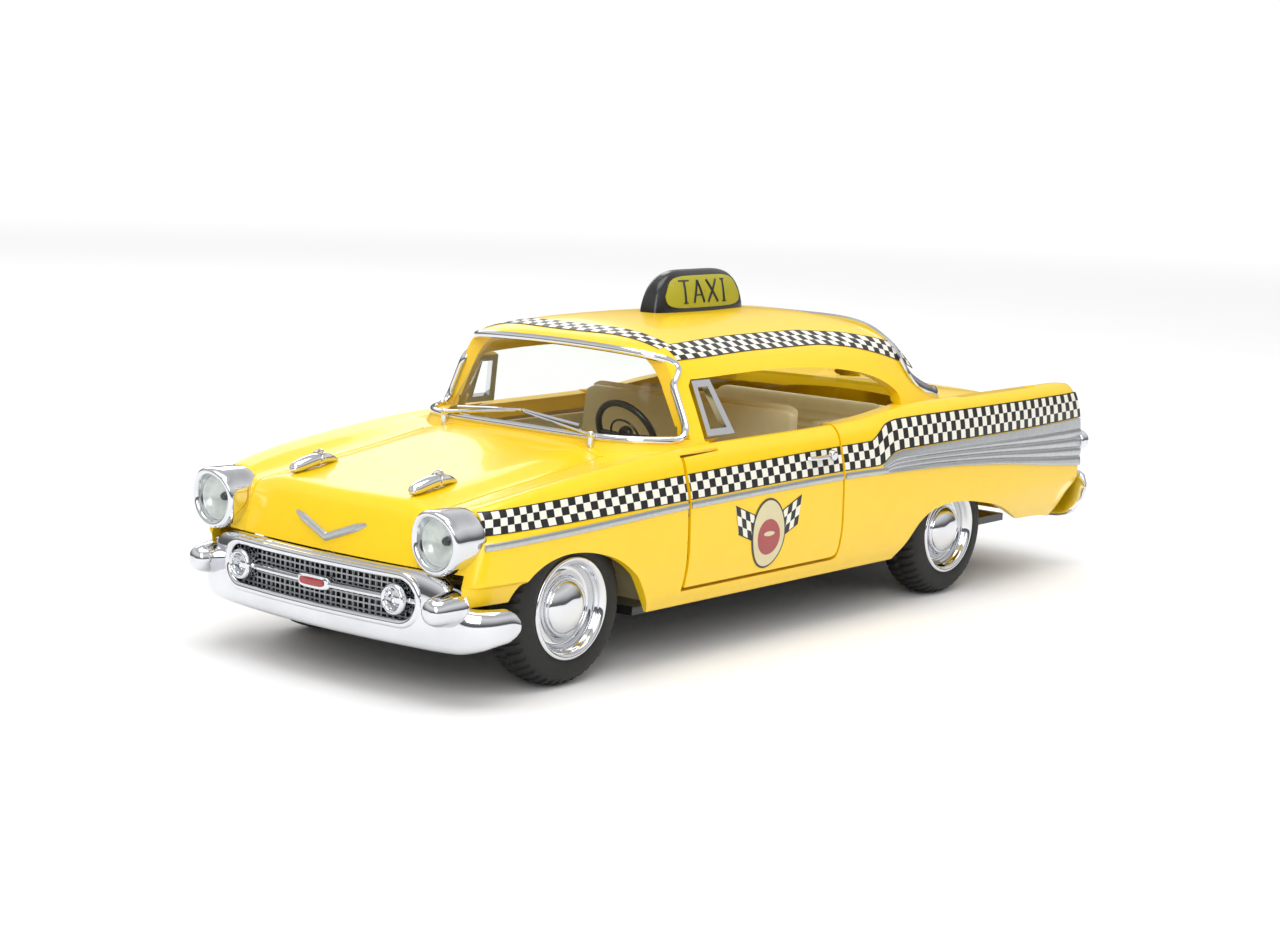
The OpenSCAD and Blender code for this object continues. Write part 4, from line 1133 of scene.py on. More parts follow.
@dataclass
class RoofPrints:
    """Checker bands over the header and along both roof edges."""

    casting: BodyCasting

    def build(self) -> None:
        """Builds the three bands."""
        skin = self.casting.cabin_skin
        y, v = np.meshgrid(np.linspace(-13.6, 13.6, 70), np.linspace(0, 1, 9))
        flat = np.stack([-24.0 + 0.006 * y * y + 2.5 * v, y, 0 * y + 60], -1)
        self.lay("header", flat, (0, 0, -1), skin, np.stack([(y + 30) / 1.08, 3 * v], -1))
        low = ((-22.5, 33.2), (-20, 33.35), (-6, 33.7), (4, 33.7), (10, 33.25), (17, 31.9), (22, 30.5),
               (26, 29.2))
        for side in Side:
            x, v = np.meshgrid(np.linspace(-21.9, 24.6, 110), np.linspace(0, 1, 9))
            base = smooth_line(low, x)
            rise = smooth_line(((-22.5, 1.45), (6, 1.45), (16, 1.9), (26, 2.2)), x)
            flat = np.stack([x + 0.9 * v * np.clip((x - 8) / 10, 0, 1), 0 * x + side.value * 60,
                             base + v * rise], -1)
            self.lay(f"roof_{side.word}", flat, (0, -side.value, 0), skin,
                     np.stack([(x + 30) / 1.08, 3 * v], -1))

    def lay(self, name: str, flat: Array, way: Sequence[float], skin: bpy.types.Object, uv: Array) -> None:
        """Drops a flat grid onto the roof, lifts it a little and prints it.

        Args:
            name: band's name.
            flat: grid of points clear of the roof.
            way: direction to drop them in.
            skin: roof skin they land on.
            uv: pattern coordinate of each point.
        """
        hit = self.casting.drop(flat.reshape(-1, 3), way, skin)
        if len(hit) != flat[..., 0].size:
            LOG.warning("%s: %d of %d points landed", name, len(hit), flat[..., 0].size)
            return
        grid = hit.reshape(flat.shape)
        away = grid - np.array([0, 0, 24.0])
        grid = grid + 0.09 * away * np.array([0.2, 1, 1]) / np.linalg.norm(away * np.array([0.2, 1, 1]),
                                                                           axis=-1, keepdims=True)
        Workshop.piece(sheet(f"checker_band_{name}", grid, CHECK, uv, 0.06), "car", "black_plastic",
                       degrees=60)


# ------------------------------------------------------------------ trim


def smooth_path(points: Array, rounds: int, closed: bool = False) -> Array:
    """Evens a path out by (before + 2 here + after) / 4, repeated; an open path keeps its ends.

    Args:
        points: path points.
        rounds: how often to average.
        closed: whether the path joins its own start.

    Returns:
        The new path points.
    """
    p = np.asarray(points, float)
    for _ in range(rounds):
        q = (np.roll(p, 1, 0) + 2 * p + np.roll(p, -1, 0)) / 4
        if not closed:
            q[0], q[-1] = p[0], p[-1]
        p = q
    return p


@dataclass
class Trim:
    """Chrome round the glass, wipers, hood ornaments, hood chevron and door handles."""

    casting: BodyCasting

    def build(self) -> None:
        """Builds every piece of trim."""
        self.windshield_frame()
        self.rear_trim()
        self.hood()
        for side in Side:
            self.wiper(side)
            self.handle(side)

    def windshield_frame(self) -> None:
        """Closed bead: round the dome's foot, up both pillars and over the header."""
        skin = self.casting.cabin_skin
        ring = CABIN.ring((-31.4, 36, 20.35, 24.8, 0, 5), 0, 0,
                          np.linspace(math.pi * 0.62, math.pi * 1.38, 160))
        foot = ring[ring[:, 0] < -23.6]
        z = np.linspace(25.6, 31.6, 16)
        up = self.casting.drop(np.stack([0 * z - 23.5, 0 * z - 60, z], -1), (0, 1, 0), skin)
        y = np.linspace(-16.6, 16.6, 50)
        top = np.stack([0 * y - 80, y, 34.42 - 0.0017 * y * y - 1.35 * (np.abs(y) / 16.6) ** 8], -1)
        top = self.casting.drop(top, (1, 0, 0), skin)
        down = up[::-1] * np.array([1, -1, 1])
        path = smooth_path(np.vstack([foot, up, top, down]), 5, True)
        outer = tube("windshield_bead", path, 0.46, 12, 0.8, up=(-1, 0, 0.35), closed=True)
        Workshop.piece(Workshop.dress(outer, CHROME), "car", "chrome", "windshield_frame")

    def rear_trim(self) -> None:
        """Flat bead up both rear pillars and across the roof's rear edge, with rounded feet."""
        skin = self.casting.cabin_skin
        cut = REAR_CUT[REAR_CUT[:, 1] < 33]
        side = self.casting.drop(np.stack([cut[:, 0] - 0.35, 0 * cut[:, 0] - 60, cut[:, 1]], -1), (0, 1, 0),
                                 skin)[::-1]
        y = np.linspace(-14, 14, 40)
        roof = self.casting.drop(np.stack([0 * y + 20.6, y, 0 * y + 60], -1), (0, 0, -1), skin)
        path = smooth_path(np.vstack([side, roof, side[::-1] * np.array([1, -1, 1])]), 3)
        radii = np.full(len(path), 0.85)
        radii[:4] = radii[-4:][::-1] = (0.3, 0.85, 1.1, 1.05)
        lift = path - np.array([0, 0, 26.0])
        bead = tube("rear_window_bead", path, radii, 14, 0.5, up=lift)
        Workshop.piece(Workshop.dress(bead, CHROME), "car", "chrome", "rear_window_trim")

    def hood(self) -> None:
        """Two rocket ornaments with an open ring each, and the shallow V on the hood's face."""
        parts = []
        for s in (-1, 1):
            path = spline([(-57.4, 9.3 * s, 20.9), (-56, 9.3 * s, 21.35), (-54, 9.3 * s, 21.75),
                           (-52, 9.3 * s, 21.75),
                           (-50.6, 9.3 * s, 21.4)], 8)
            t = np.linspace(0, 1, len(path))
            parts.append(tube("part", path, 0.2 + 0.72 * np.sin(np.pi * t**0.7) ** 0.7, 14, 0.8))
            a = np.linspace(0, 2 * math.pi, 40, endpoint=False)
            ring = np.stack([-53.4 + 0.3 * np.sin(a), 9.3 * s + 0.85 * np.cos(a), 21.95 + 0.75 * np.sin(a)],
                            -1)
            parts.append(tube("part", ring, 0.2, 8, closed=True, up=(-1, 0, 0.3)))
        Workshop.piece(Workshop.dress(join("hood_ornaments_bright", parts), CHROME), "car", "chrome",
                       "hood_ornaments")
        y = np.linspace(-5.4, 5.4, 61)
        face = np.stack([0 * y - 90, y, 15.2 + 0.37 * np.abs(y)], -1)
        path = self.casting.drop(face, (1, 0, 0))
        radii = 0.2 + 0.26 * np.clip((5.4 - np.abs(y)) / 1.2, 0, 1)
        badge = tube("hood_chevron", path, radii, 10, 0.9, up=(-1, 0, 0))
        Workshop.piece(Workshop.dress(badge, FOIL), "car", "chrome", "hood_trim")

    def wiper(self, side: Side) -> None:
        """Pivot boss, tapering arm and blade that lie low on the glass."""
        s = side.value
        boss = lathe("part", spline([(0.01, -1.6), (0.42, -1.6), (0.42, 0), (0.5, 0.2), (0.3, 0.5),
                                     (0.01, 0.55)], 4),
                     20, (-31.6, 11.5 * s, 25), "z")
        arm_y = np.linspace(11.5, 0.6, 40)
        arm = np.stack([-31.7 + 0.075 * (11.5 - arm_y), s * arm_y, 25.2 + 0.115 * (11.5 - arm_y)], -1)
        blade_y = np.linspace(9.6, 0.2, 40)
        blade = np.stack([-31.35 + 0.07 * (9.6 - blade_y), s * blade_y, 25.95 + 0.07 * (9.6 - blade_y)], -1)
        parts = [boss, tube("part", arm, np.linspace(0.34, 0.16, 40), 8, 0.7), tube("part", blade, 0.17, 8)]
        wiper = Workshop.dress(join(f"wiper_arm_{side.word}", parts), CHROME)
        Workshop.piece(wiper, "car", "chrome", f"wiper_{side.word}")

    def handle(self, side: Side) -> None:
        """Pull bar on two posts with a push button behind it."""
        x, z = -2.0, 21.25
        t = np.linspace(-2.7, 1.1, 24)
        bar = SIDE_MAP.lay(x + t, np.full(len(t), z), side, 0.62)
        bar[:, 1] -= side.value * 0.55 * (np.abs(t + 0.8) / 1.9) ** 6
        parts = [tube("part", bar, 0.4, 10, 0.7)]
        centre = SIDE_MAP.lay(np.array([x + 2.0]), np.array([z]), side, 0.0)[0]
        knob = spline([(0.01, -0.3), (0.62, -0.3), (0.62, 0.45), (0.48, 0.68), (0.01, 0.72)], 4)
        parts.append(lathe("part", knob, 24, centre, "y", side.value))
        handle = Workshop.dress(join(f"door_pull_{side.word}", parts), CHROME)
        Workshop.piece(handle, f"door_{side.word}", "chrome", f"door_handle_{side.word}")


# ------------------------------------------------------------------ nose, lamps and rear bumper

NOSE_PLAN = ((-62.6, 0), (-62.4, 6), (-61.9, 12), (-61.2, 17), (-60, 20.3), (-57.8, 22.3), (-54.8, 23.2))


@dataclass
class Nose:
    """Front bumper with its grille opening, mesh, bar, ring lamps and bullets."""

    opening_y: float = 12.4
    opening_z: float = 10.6
    opening_r: float = 2.3

    def plan(self, y: Array) -> Array:
        """Front line's x at each y between the bumper's corners."""
        return smooth_line([(p[1], p[0]) for p in NOSE_PLAN], np.abs(y))

    def stadium(self, grow: float, count: int = 24) -> Array:
        """Outline of the grille opening: two half circles joined by straight lines.

        Args:
            grow: distance to move the outline outward.
            count: points on each half circle.

        Returns:
            Outline points as (y, z).
        """
        a = np.linspace(-math.pi / 2, math.pi / 2, count)
        r = self.opening_r + grow
        right = np.stack([self.opening_y + r * np.cos(a), self.opening_z + r * np.sin(a)], -1)
        span = np.linspace(-1, 1, 40)[1:-1]
        top = np.stack([-self.opening_y * span, 0 * span + self.opening_z + r], -1)
        left = right * np.array([-1, 1])
        bottom = np.stack([self.opening_y * span, 0 * span + self.opening_z - r], -1)
        return np.vstack([right, top, left[::-1], bottom])

    def build(self) -> None:
        """Builds the whole nose."""
        self.bumper()
        self.mesh()
        self.bar()

    def bumper(self) -> None:
        """Rounded band lofted along the nose: superellipse sections as high as the bumper is there."""
        half = list(NOSE_PLAN)
        plan = spline([(x, -y) for x, y in half[:0:-1]] + half, 10)
        run = np.gradient(plan, axis=0)
        run /= np.linalg.norm(run, axis=1, keepdims=True)
        inward = np.stack([run[:, 1], -run[:, 0]], -1)
        reach = np.abs(plan[:, 1])
        high = smooth_line(((0, 13.8), (14, 13.8), (17.2, 13.3), (18.6, 12.2), (19.6, 10.9), (21, 10.4),
                            (23.3, 10.3)), reach)
        low = smooth_line(((0, 5.6), (19, 5.6), (21.5, 6.0), (23.3, 6.9)), reach)
        end = np.clip((plan[:, 0] + 54.8) / -1.0, 0, 1) ** 0.5
        a = np.linspace(0, 2 * math.pi, 48, endpoint=False)
        c, s = np.sign(np.cos(a)) * np.abs(np.cos(a)) ** 0.6, np.sign(np.sin(a)) * np.abs(np.sin(a)) ** 0.75
        depth = 1.05 * (1 - c)[None] * (0.35 + 0.65 * end[:, None]) + 0.25 * s[None] ** 2
        z = (high + low)[:, None] / 2 + (high - low)[:, None] / 2 * s[None] * (0.45 + 0.55 * end[:, None])
        xy = plan[:, None] + inward[:, None] * depth[..., None]
        band = surface("front_bumper_bright", np.concatenate([xy, z[..., None]], -1), wrap_columns=True,
                       caps=True)
        combine(band, prism("tool", self.stadium(0.0), -70, -50, "x"))
        parts = [band]
        ring = self.stadium(0.25)
        path = np.stack([self.plan(ring[:, 0]) + 0.3, ring[:, 0], ring[:, 1]], -1)
        parts.append(tube("part", path, 0.5, 10, closed=True, up=(-1, 0, 0)))
        for s in (-1, 1):
            bullet = spline([(0.01, 0), (1.95, 0), (1.95, 0), (1.9, 0.6), (1.65, 2.2), (1.5, 2.9),
                             (1.15, 3.6), (0.6, 3.95), (0.01, 4.05)], 5)
            parts.append(lathe("part", bullet, 40, (-59.6, 18.3 * s, 10.35), "x", -1))
        Workshop.piece(Workshop.dress(join("front_bumper_bright", parts), CHROME), "car", "chrome",
                       "front_bumper", degrees=40)

    def mesh(self) -> None:
        """Grille sheet with raised bars: relief where either pattern coordinate is near a whole number."""
        y, z = np.meshgrid(np.linspace(-14.8, 14.8, 371), np.linspace(8.2, 13.0, 81))
        u, v = y / 0.82, z / 0.66
        rib = np.maximum(np.abs(u - np.round(u)) < 0.14, np.abs(v - np.round(v)) < 0.16)
        grid = np.stack([self.plan(y) + 1.45 - 0.25 * rib, y, z], -1)
        obj = surface("grille_mesh", grid, uv=np.stack([u, v], -1))
        apply(obj, "SOLIDIFY", thickness=0.5 * MM, offset=-1.0 if obj.data.polygons[0].normal.x < 0 else 1.0)
        shape = prism("tool", self.stadium(0.12), -70, -50, "x")
        combine(obj, shape, "INTERSECT")
        obj.data.materials.clear()
        Workshop.dress(obj, GRID)
        Workshop.piece(obj, "car", "grille_black", "grille_insert", degrees=30)

    def bar(self) -> None:
        """Slim bar with a plain plaque in the middle and a ring lamp near each end."""
        y = np.linspace(-14.4, 14.4, 90)
        path = np.stack([self.plan(y) + 0.55, y, 0 * y + 10.65], -1)
        parts = [tube("part", path, 0.42, 10, up=(0, 0, 1))]
        for s in (-1, 1):
            at = (float(self.plan(np.array([12.0]))[0]) + 1.2, 12 * s, 10.65)
            ring = spline([(0.95, 0.4), (1.05, 1.2), (1.25, 1.75), (1.55, 1.7), (1.7, 1.2), (1.65, 0.2),
                           (1.3, 0.0)], 5, True)
            parts.append(lathe("part", ring, 40, at, "x", -1))
            cone = spline([(0.01, 0), (1.1, 0), (1.0, 0.8), (0.6, 1.15), (0.25, 1.3), (0.01, 1.32)], 5)
            parts.append(lathe("part", cone, 32, at, "x", -1))
        a, b = np.meshgrid(np.linspace(0, 2 * math.pi, 48, endpoint=False), np.linspace(-1, 1, 15),
                           indexing="ij")
        round_off = (1 - np.abs(b) ** 5) ** 0.2
        c, s = np.sign(np.cos(a)) * np.abs(np.cos(a)) ** 0.5, np.sign(np.sin(a)) * np.abs(np.sin(a)) ** 0.5
        plaque = np.stack([-61.9 + 0.65 * b, 2.45 * c * round_off, 10.65 + 0.8 * s * round_off], -1)
        made = surface("part", np.moveaxis(plaque, 0, 1), wrap_columns=True)
        outward(made)
        parts.append(made)
        bar = Workshop.dress(join("grille_bar_bright", parts), CHROME)
        Workshop.piece(bar, "car", "chrome", "grille_bar")
        inlay = np.stack([-62.58 + 0.08 * b, 1.85 * c * round_off, 10.65 + 0.42 * s * round_off], -1)
        red = surface("plaque_inlay", np.moveaxis(inlay, 0, 1), wrap_columns=True)
        outward(red)
        Workshop.piece(Workshop.dress(red, RED), "car", "red_plastic")


@dataclass(frozen=True)
class GridFinish(Finish):
    """Moulded grille: dark ground with silver tips on its raised bars."""

    def make(self) -> bpy.types.Material:
        """Builds the material."""
        material, tree, noise = self.start()
        uv = add_node(tree, "ShaderNodeUVMap", uv_map="pattern").outputs[0]
        axes = add_node(tree, "ShaderNodeSeparateXYZ", {0: uv})
        bars = []
        for number, width in ((0, 0.13), (1, 0.15)):
            wave = add_node(tree, "ShaderNodeMath", {0: axes.outputs[number], 1: 0.5},
                            operation="ADD").outputs[0]
            part = add_node(tree, "ShaderNodeMath", {0: wave}, operation="FRACT").outputs[0]
            off = add_node(tree, "ShaderNodeMath", {0: part, 1: 0.5}, operation="SUBTRACT").outputs[0]
            size = add_node(tree, "ShaderNodeMath", {0: off}, operation="ABSOLUTE").outputs[0]
            bars.append(add_node(tree, "ShaderNodeMath", {0: size, 1: width},
                                 operation="LESS_THAN").outputs[0])
        bar = add_node(tree, "ShaderNodeMath", {0: bars[0], 1: bars[1]}, operation="MAXIMUM").outputs[0]
        shader = self.shader(tree, noise, blend_colours(tree, bar, self.colour, self.second))
        add_node(tree, "ShaderNodeOutputMaterial", {"Surface": shader.outputs[0]})
        return material


GRID = GridFinish("printed_grille_mesh", "#0D0E0F", "#A9ACAE", 0.8, 0.35, 0.3, relief=0.004)


class Lamps:
    """Headlamps with a bowl, bulb and domed lens, and red tail lamps in bright rings."""

    def build(self) -> None:
        """Builds both pairs."""
        for side in Side:
            self.head(side)
            self.tail(side)

    def head(self, side: Side) -> None:
        """Bright rim, faceted bowl, dark bulb and clear dome, all turned about the lamp's axis."""
        x, y, z = LAMP_AT
        at = (x, y * side.value, z)
        rim = spline([(2.4, -1.3), (2.45, 0.3), (2.62, 1.05), (2.95, 1.3), (3.3, 1.1), (3.45, 0.5),
                      (3.42, -0.6), (3.25, -3.0), (2.6, -3.0)], 6, True)
        ring = lathe(f"headlamp_rim_{side.word}", rim, 64, at, "x", -1)
        flat = np.zeros(len(ring.data.vertices) * 3)
        ring.data.vertices.foreach_get("co", flat)
        co = flat.reshape(-1, 3)
        up = np.clip((co[:, 2] / MM - z) / 3.4, 0, 1)
        co[:, 0] -= 0.75 * MM * up**2 * (co[:, 0] / MM < x + 0.2)
        ring.data.vertices.foreach_set("co", co.ravel())
        Workshop.piece(Workshop.dress(ring, CHROME), "car", "chrome", f"headlight_bezel_{side.word}")
        bowl = spline([(0.01, -0.9), (1.0, -0.75), (1.9, -0.3), (2.42, 0.4), (2.42, 0.3), (2.42, -0.3),
                       (1.9, -1.3), (0.9, -1.9), (0.01, -2.0)], 6)
        back = Workshop.dress(lathe("part", bowl, 48, at, "x", -1), LENS)
        bulb = spline([(0.01, -1.5), (0.35, -1.4), (0.5, -1.0), (0.45, -0.5), (0.25, -0.2), (0.01, -0.1)], 6)
        core = Workshop.dress(lathe("part", bulb, 32, at, "x", -1), GREY)
        Workshop.piece(join(f"headlamp_bowl_{side.word}", [back, core]), "car", "chrome")
        dome = spline([(0.01, 1.55), (0.9, 1.45), (1.8, 1.05), (2.42, 0.4), (2.42, 0.2), (1.75, 0.8),
                       (0.9, 1.2), (0.01, 1.3)], 6)
        lens = Workshop.dress(lathe(f"headlamp_dome_{side.word}", dome, 48, at, "x", -1), CLEAR)
        Workshop.piece(lens, "car", "clear_plastic", f"headlight_lens_{side.word}")

    def tail(self, side: Side) -> None:
        """Bright ring with a red dome."""
        x, y, z = TAIL_AT
        at = (x, y * side.value, z)
        ring = spline([(1.0, -1.2), (1.0, 0.3), (1.2, 0.45), (1.42, 0.3), (1.44, -0.5), (1.42, -1.2)], 5,
                      True)
        bright = Workshop.dress(lathe("part", ring, 40, at, "x"), CHROME)
        dome = spline([(0.01, -1.1), (1.02, -1.1), (1.02, 0.2), (0.75, 0.6), (0.3, 0.8), (0.01, 0.82)], 5)
        red = Workshop.dress(lathe("part", dome, 40, at, "x"), RED)
        Workshop.piece(join(f"tail_lamp_{side.word}", [bright, red]), "car", "red_plastic",
                       f"tail_light_{side.word}")


@dataclass
class RearBumper:
    """Bright rear bumper: one rounded profile carried across, drawn in at both ends."""

    profile: tuple = ((61.9, 13), (62.4, 13.7), (63.2, 13.7), (63.6, 13), (63.6, 11.8), (62.9, 10),
                      (61.4, 7.8),
                      (60.2, 6.9), (59.2, 7.2), (60.6, 9.8), (61.8, 11.9))

    def build(self) -> None:
        """Lofts the profile over y, shrinking it towards its middle at the ends."""
        low, high = (c * 1000 for c in (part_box("rear_bumper")[0][1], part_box("rear_bumper")[1][1]))
        loop = spline(self.profile, 6, True)
        t = np.linspace(-1, 1, 61)
        y = (low + high) / 2 + (high - low) / 2 * t
        size = 0.35 + 0.65 * (1 - np.abs(t) ** 14) ** 0.5
        hub = loop.mean(axis=0)
        xz = hub + (loop - hub)[None] * size[:, None, None]
        bow = -0.9 * np.abs(t) ** 3
        grid = np.stack([xz[..., 0] + bow[:, None], np.broadcast_to(y[:, None], xz[..., 0].shape),
                         xz[..., 1]], -1)
        bar = surface("rear_bumper_bright", grid, wrap_columns=True, caps=True)
        Workshop.piece(Workshop.dress(bar, CHROME), "car", "chrome", "rear_bumper")


# ------------------------------------------------------------------ wheels, cockpit and sign


@dataclass
class Wheel:
    """Moulded tyre with shoulder cleats and a stepped bright rim with a hub dome."""

    end: str
    side: Side
    cleats: int = 46

    def build(self) -> None:
        """Builds both pieces of the wheel, centred on the CAD rim."""
        tag = f"{self.end}_{self.side.word}"
        low, high = (np.array(c) * 1000 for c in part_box(f"tyre_{tag}"))
        middle = (low + high) / 2
        face = high[1] if self.side is Side.RIGHT else low[1]
        at = (middle[0], face, middle[2])
        body = f"{self.end}_wheels"
        profile = spline([(5.15, -0.5), (5.65, -0.15), (6.2, 0), (7.1, -0.05), (7.7, -0.25), (8.2, -0.7),
                          (8.5, -1.4),
                          (8.6, -2.2), (8.6, -3.2), (8.5, -4.1), (8.2, -4.8), (7.6, -5.2), (6.4, -5.4),
                          (5.15, -5.3)], 5, True)
        a = np.linspace(0, 2 * math.pi, self.cleats * 12, endpoint=False)[:, None]
        r, h = profile[None, :, 0], profile[None, :, 1]
        tread = np.clip((r - 7.75) / 0.45, 0, 1)
        shift = np.where(h > -2.7, 0.0, math.pi)
        groove = np.clip(1 - np.abs(h + 2.7) / 0.35, 0,
                         1) + 0.75 * np.clip(2.2 * np.sin(self.cleats * a + shift + 1.2 * h), 0, 1)
        radius = r - 0.32 * tread * np.clip(groove, 0, 1)
        s = float(self.side.value)
        grid = np.stack([at[0] + radius * np.cos(a), np.broadcast_to(at[1] + s * h, radius.shape),
                         at[2] + radius * np.sin(a)], -1)
        tyre = surface(f"tyre_treaded_{tag}", grid, wrap_rows=True, wrap_columns=True)
        Workshop.piece(Workshop.dress(tyre, RUBBER), body, "tyre_rubber", f"tyre_{tag}", degrees=28)
        rim = spline([(0.01, 0.42), (1.2, 0.32), (2.2, -0.05), (2.85, -0.5), (3.0, -0.75), (3.15, -0.7),
                      (3.3, -0.95), (3.45, -1.5),
                      (4.1, -1.75), (4.45, -1.5), (4.55, -0.9), (4.75, -0.55), (4.95, -0.15), (5.3, 0.12),
                      (5.62, 0.0), (5.6, -0.5),
                      (5.2, -0.9), (5.1, -4.8), (4.6, -4.8), (4.3, -2.4), (1.8, -2.2), (1.8, -5.3),
                      (0.9, -5.3), (0.9, -1.5), (0.01, -1.4)], 4)
        wheel = lathe(f"rim_bright_{tag}", rim, 96, at, "y", s)
        Workshop.piece(Workshop.dress(wheel, CHROME), body, "chrome", f"rim_{tag}", degrees=40)


@dataclass
class Seat:
    """Moulded bench: a closed profile carried across, with pleats pressed across its backrest."""

    node: str
    channel: float

    def build(self) -> None:
        """Carries the profile across y; pleats of the backrest dent it by |sin| of the height."""
        low, high = (np.array(c) * 1000 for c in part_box(self.node))
        back = high[2] - low[2]
        seat = 0.36 * back if back > 12 else 0.34 * back
        loop = spline([(0, 0), (0, 0), (0.05, seat - 0.5), (0.6, seat), (3.4, seat + 0.15), (6.4, seat - 0.2),
                       (6.9, seat + 0.3), (7.7, back * 0.7), (8.3, back - 0.7),
                       (8.9, back), (9.6, back - 0.2), (9.95, back - 1), (9.4, 0), (9.4, 0)], 12, True)
        y = np.linspace(low[1], high[1], 60)
        edge = np.clip((high[1] - np.abs(y)) / 1.2, 0, 1) ** 0.5
        face = (loop[:, 1] > seat + 0.5) * (loop[:, 1] < back - 1.2) * (loop[:, 0] < 8.6)
        dent = (0.22 * face * (1 - np.abs(np.sin(np.pi * loop[:, 1] / self.channel)) ** 0.5))[None]
        hub = np.array([6.5, back / 2])
        away = (loop - hub) / np.linalg.norm(loop - hub, axis=1, keepdims=True)
        xz = loop[None] - away[None] * (dent + 0.5 * (1 - edge)[:, None])[..., None]
        grid = np.stack([low[0] + xz[..., 0], np.broadcast_to(y[:, None], xz[..., 0].shape),
                         low[2] + np.maximum(xz[..., 1], 0)], -1)
        made = surface(f"{self.node}_bench", grid, wrap_columns=True, caps=True)
        Workshop.piece(Workshop.dress(made, CREAM), "car", "cream_plastic", self.node, degrees=50)


class Cockpit:
    """Dash top with a hood over the dials, and the steering wheel on its column."""

    def build(self) -> None:
        """Builds both pieces."""
        self.dash()
        self.wheel()

    def dash(self) -> None:
        """Carries a rounded section across; its upper edge swells over the dials and it narrows forward."""
        low, high = (np.array(c) * 1000 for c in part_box("dashboard"))
        y = np.linspace(low[1], high[1], 160)
        t = np.linspace(0, 2 * math.pi, 40, endpoint=False)
        c, s = (np.sign(f(t)) * np.abs(f(t)) ** 0.5 for f in (np.cos, np.sin))
        end = (1 - np.abs((y - y.mean()) / (y[-1] - y.mean())) ** 10) ** 0.5
        dials = 0.9 * np.exp(-(((y + 8) / 4.2) ** 4))
        front = low[0] + 0.012 * y**2
        deep = (high[0] - front) / 2 * (0.75 + 0.25 * end)
        tall = (high[2] - 0.9 + dials - (high[2] - 5.5)) / 2
        x = high[0] - deep[:, None] * (1 - c[None])
        z = high[2] - 5.5 + tall[:, None] * (1 + s[None] * (0.5 + 0.5 * end[:, None]))
        made = surface("dash_moulding", np.stack([x, np.broadcast_to(y[:, None], x.shape), z], -1),
                       wrap_columns=True, caps=True)
        Workshop.piece(Workshop.dress(made, CREAM), "car", "cream_plastic", "dashboard", degrees=40)

    def wheel(self) -> None:
        """Thin rim, horn ring, two spokes and a hub, tilted 25 degrees from upright about a cross axis."""
        low, high = (np.array(c) * 1000 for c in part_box("steering_wheel"))
        hub = (low + high) / 2
        lean = math.radians(25)
        across, up = np.array([0, 1, 0]), np.array([-math.sin(lean), 0, math.cos(lean)])
        a = np.linspace(0, 2 * math.pi, 72, endpoint=False)[:, None]
        size = (high[1] - low[1]) / 2 - 0.42
        column = np.array([math.cos(lean), 0, math.sin(lean)])
        circle = np.cos(a) * across + np.sin(a) * up
        rim, horn_ring = hub + size * circle, hub + size * 0.5 * circle - 0.3 * column
        parts = [tube("part", rim, 0.4, 12, closed=True), tube("part", horn_ring, 0.14, 8, closed=True)]
        for s in (-1, 1):
            n = np.linspace(0.05, 1, 12)[:, None]
            parts.append(tube("part", hub + s * n * size * across - 0.4 * (1 - n) * np.array([1, 0, 0.4]),
                              0.28, 8))
        cap = spline([(0.01, 0.5), (0.7, 0.35), (1.0, -0.1), (0.8, -0.6), (0.01, -0.7)], 5)
        parts.append(lathe("part", cap, 24, hub, "x"))
        Workshop.piece(Workshop.dress(join("steering_wheel_thin", parts), BLACK), "car", "black_plastic",
                       "steering_wheel")


SIGN_MIDDLE_Z = 39.35
TOP = 1.35
FOOT = -TOP
# strokes as (x, z) ends about each letter's middle; the key is the middle's place along the sign
LETTERS = {-4.1: [((-1, TOP), (1, TOP)), ((0, TOP), (0, FOOT)), ((-0.4, FOOT), (0.4, FOOT))],
           -1.35: [((-1.05, FOOT), (0, TOP)), ((0, TOP), (1.05, FOOT)), ((-0.55, -0.45), (0.55, -0.45))],
           1.55: [((-1, TOP), (1, FOOT)), ((-1, FOOT), (1, TOP))],
           3.95: [((0, TOP), (0, FOOT)), ((-0.4, TOP), (0.4, TOP)), ((-0.4, FOOT), (0.4, FOOT))]}


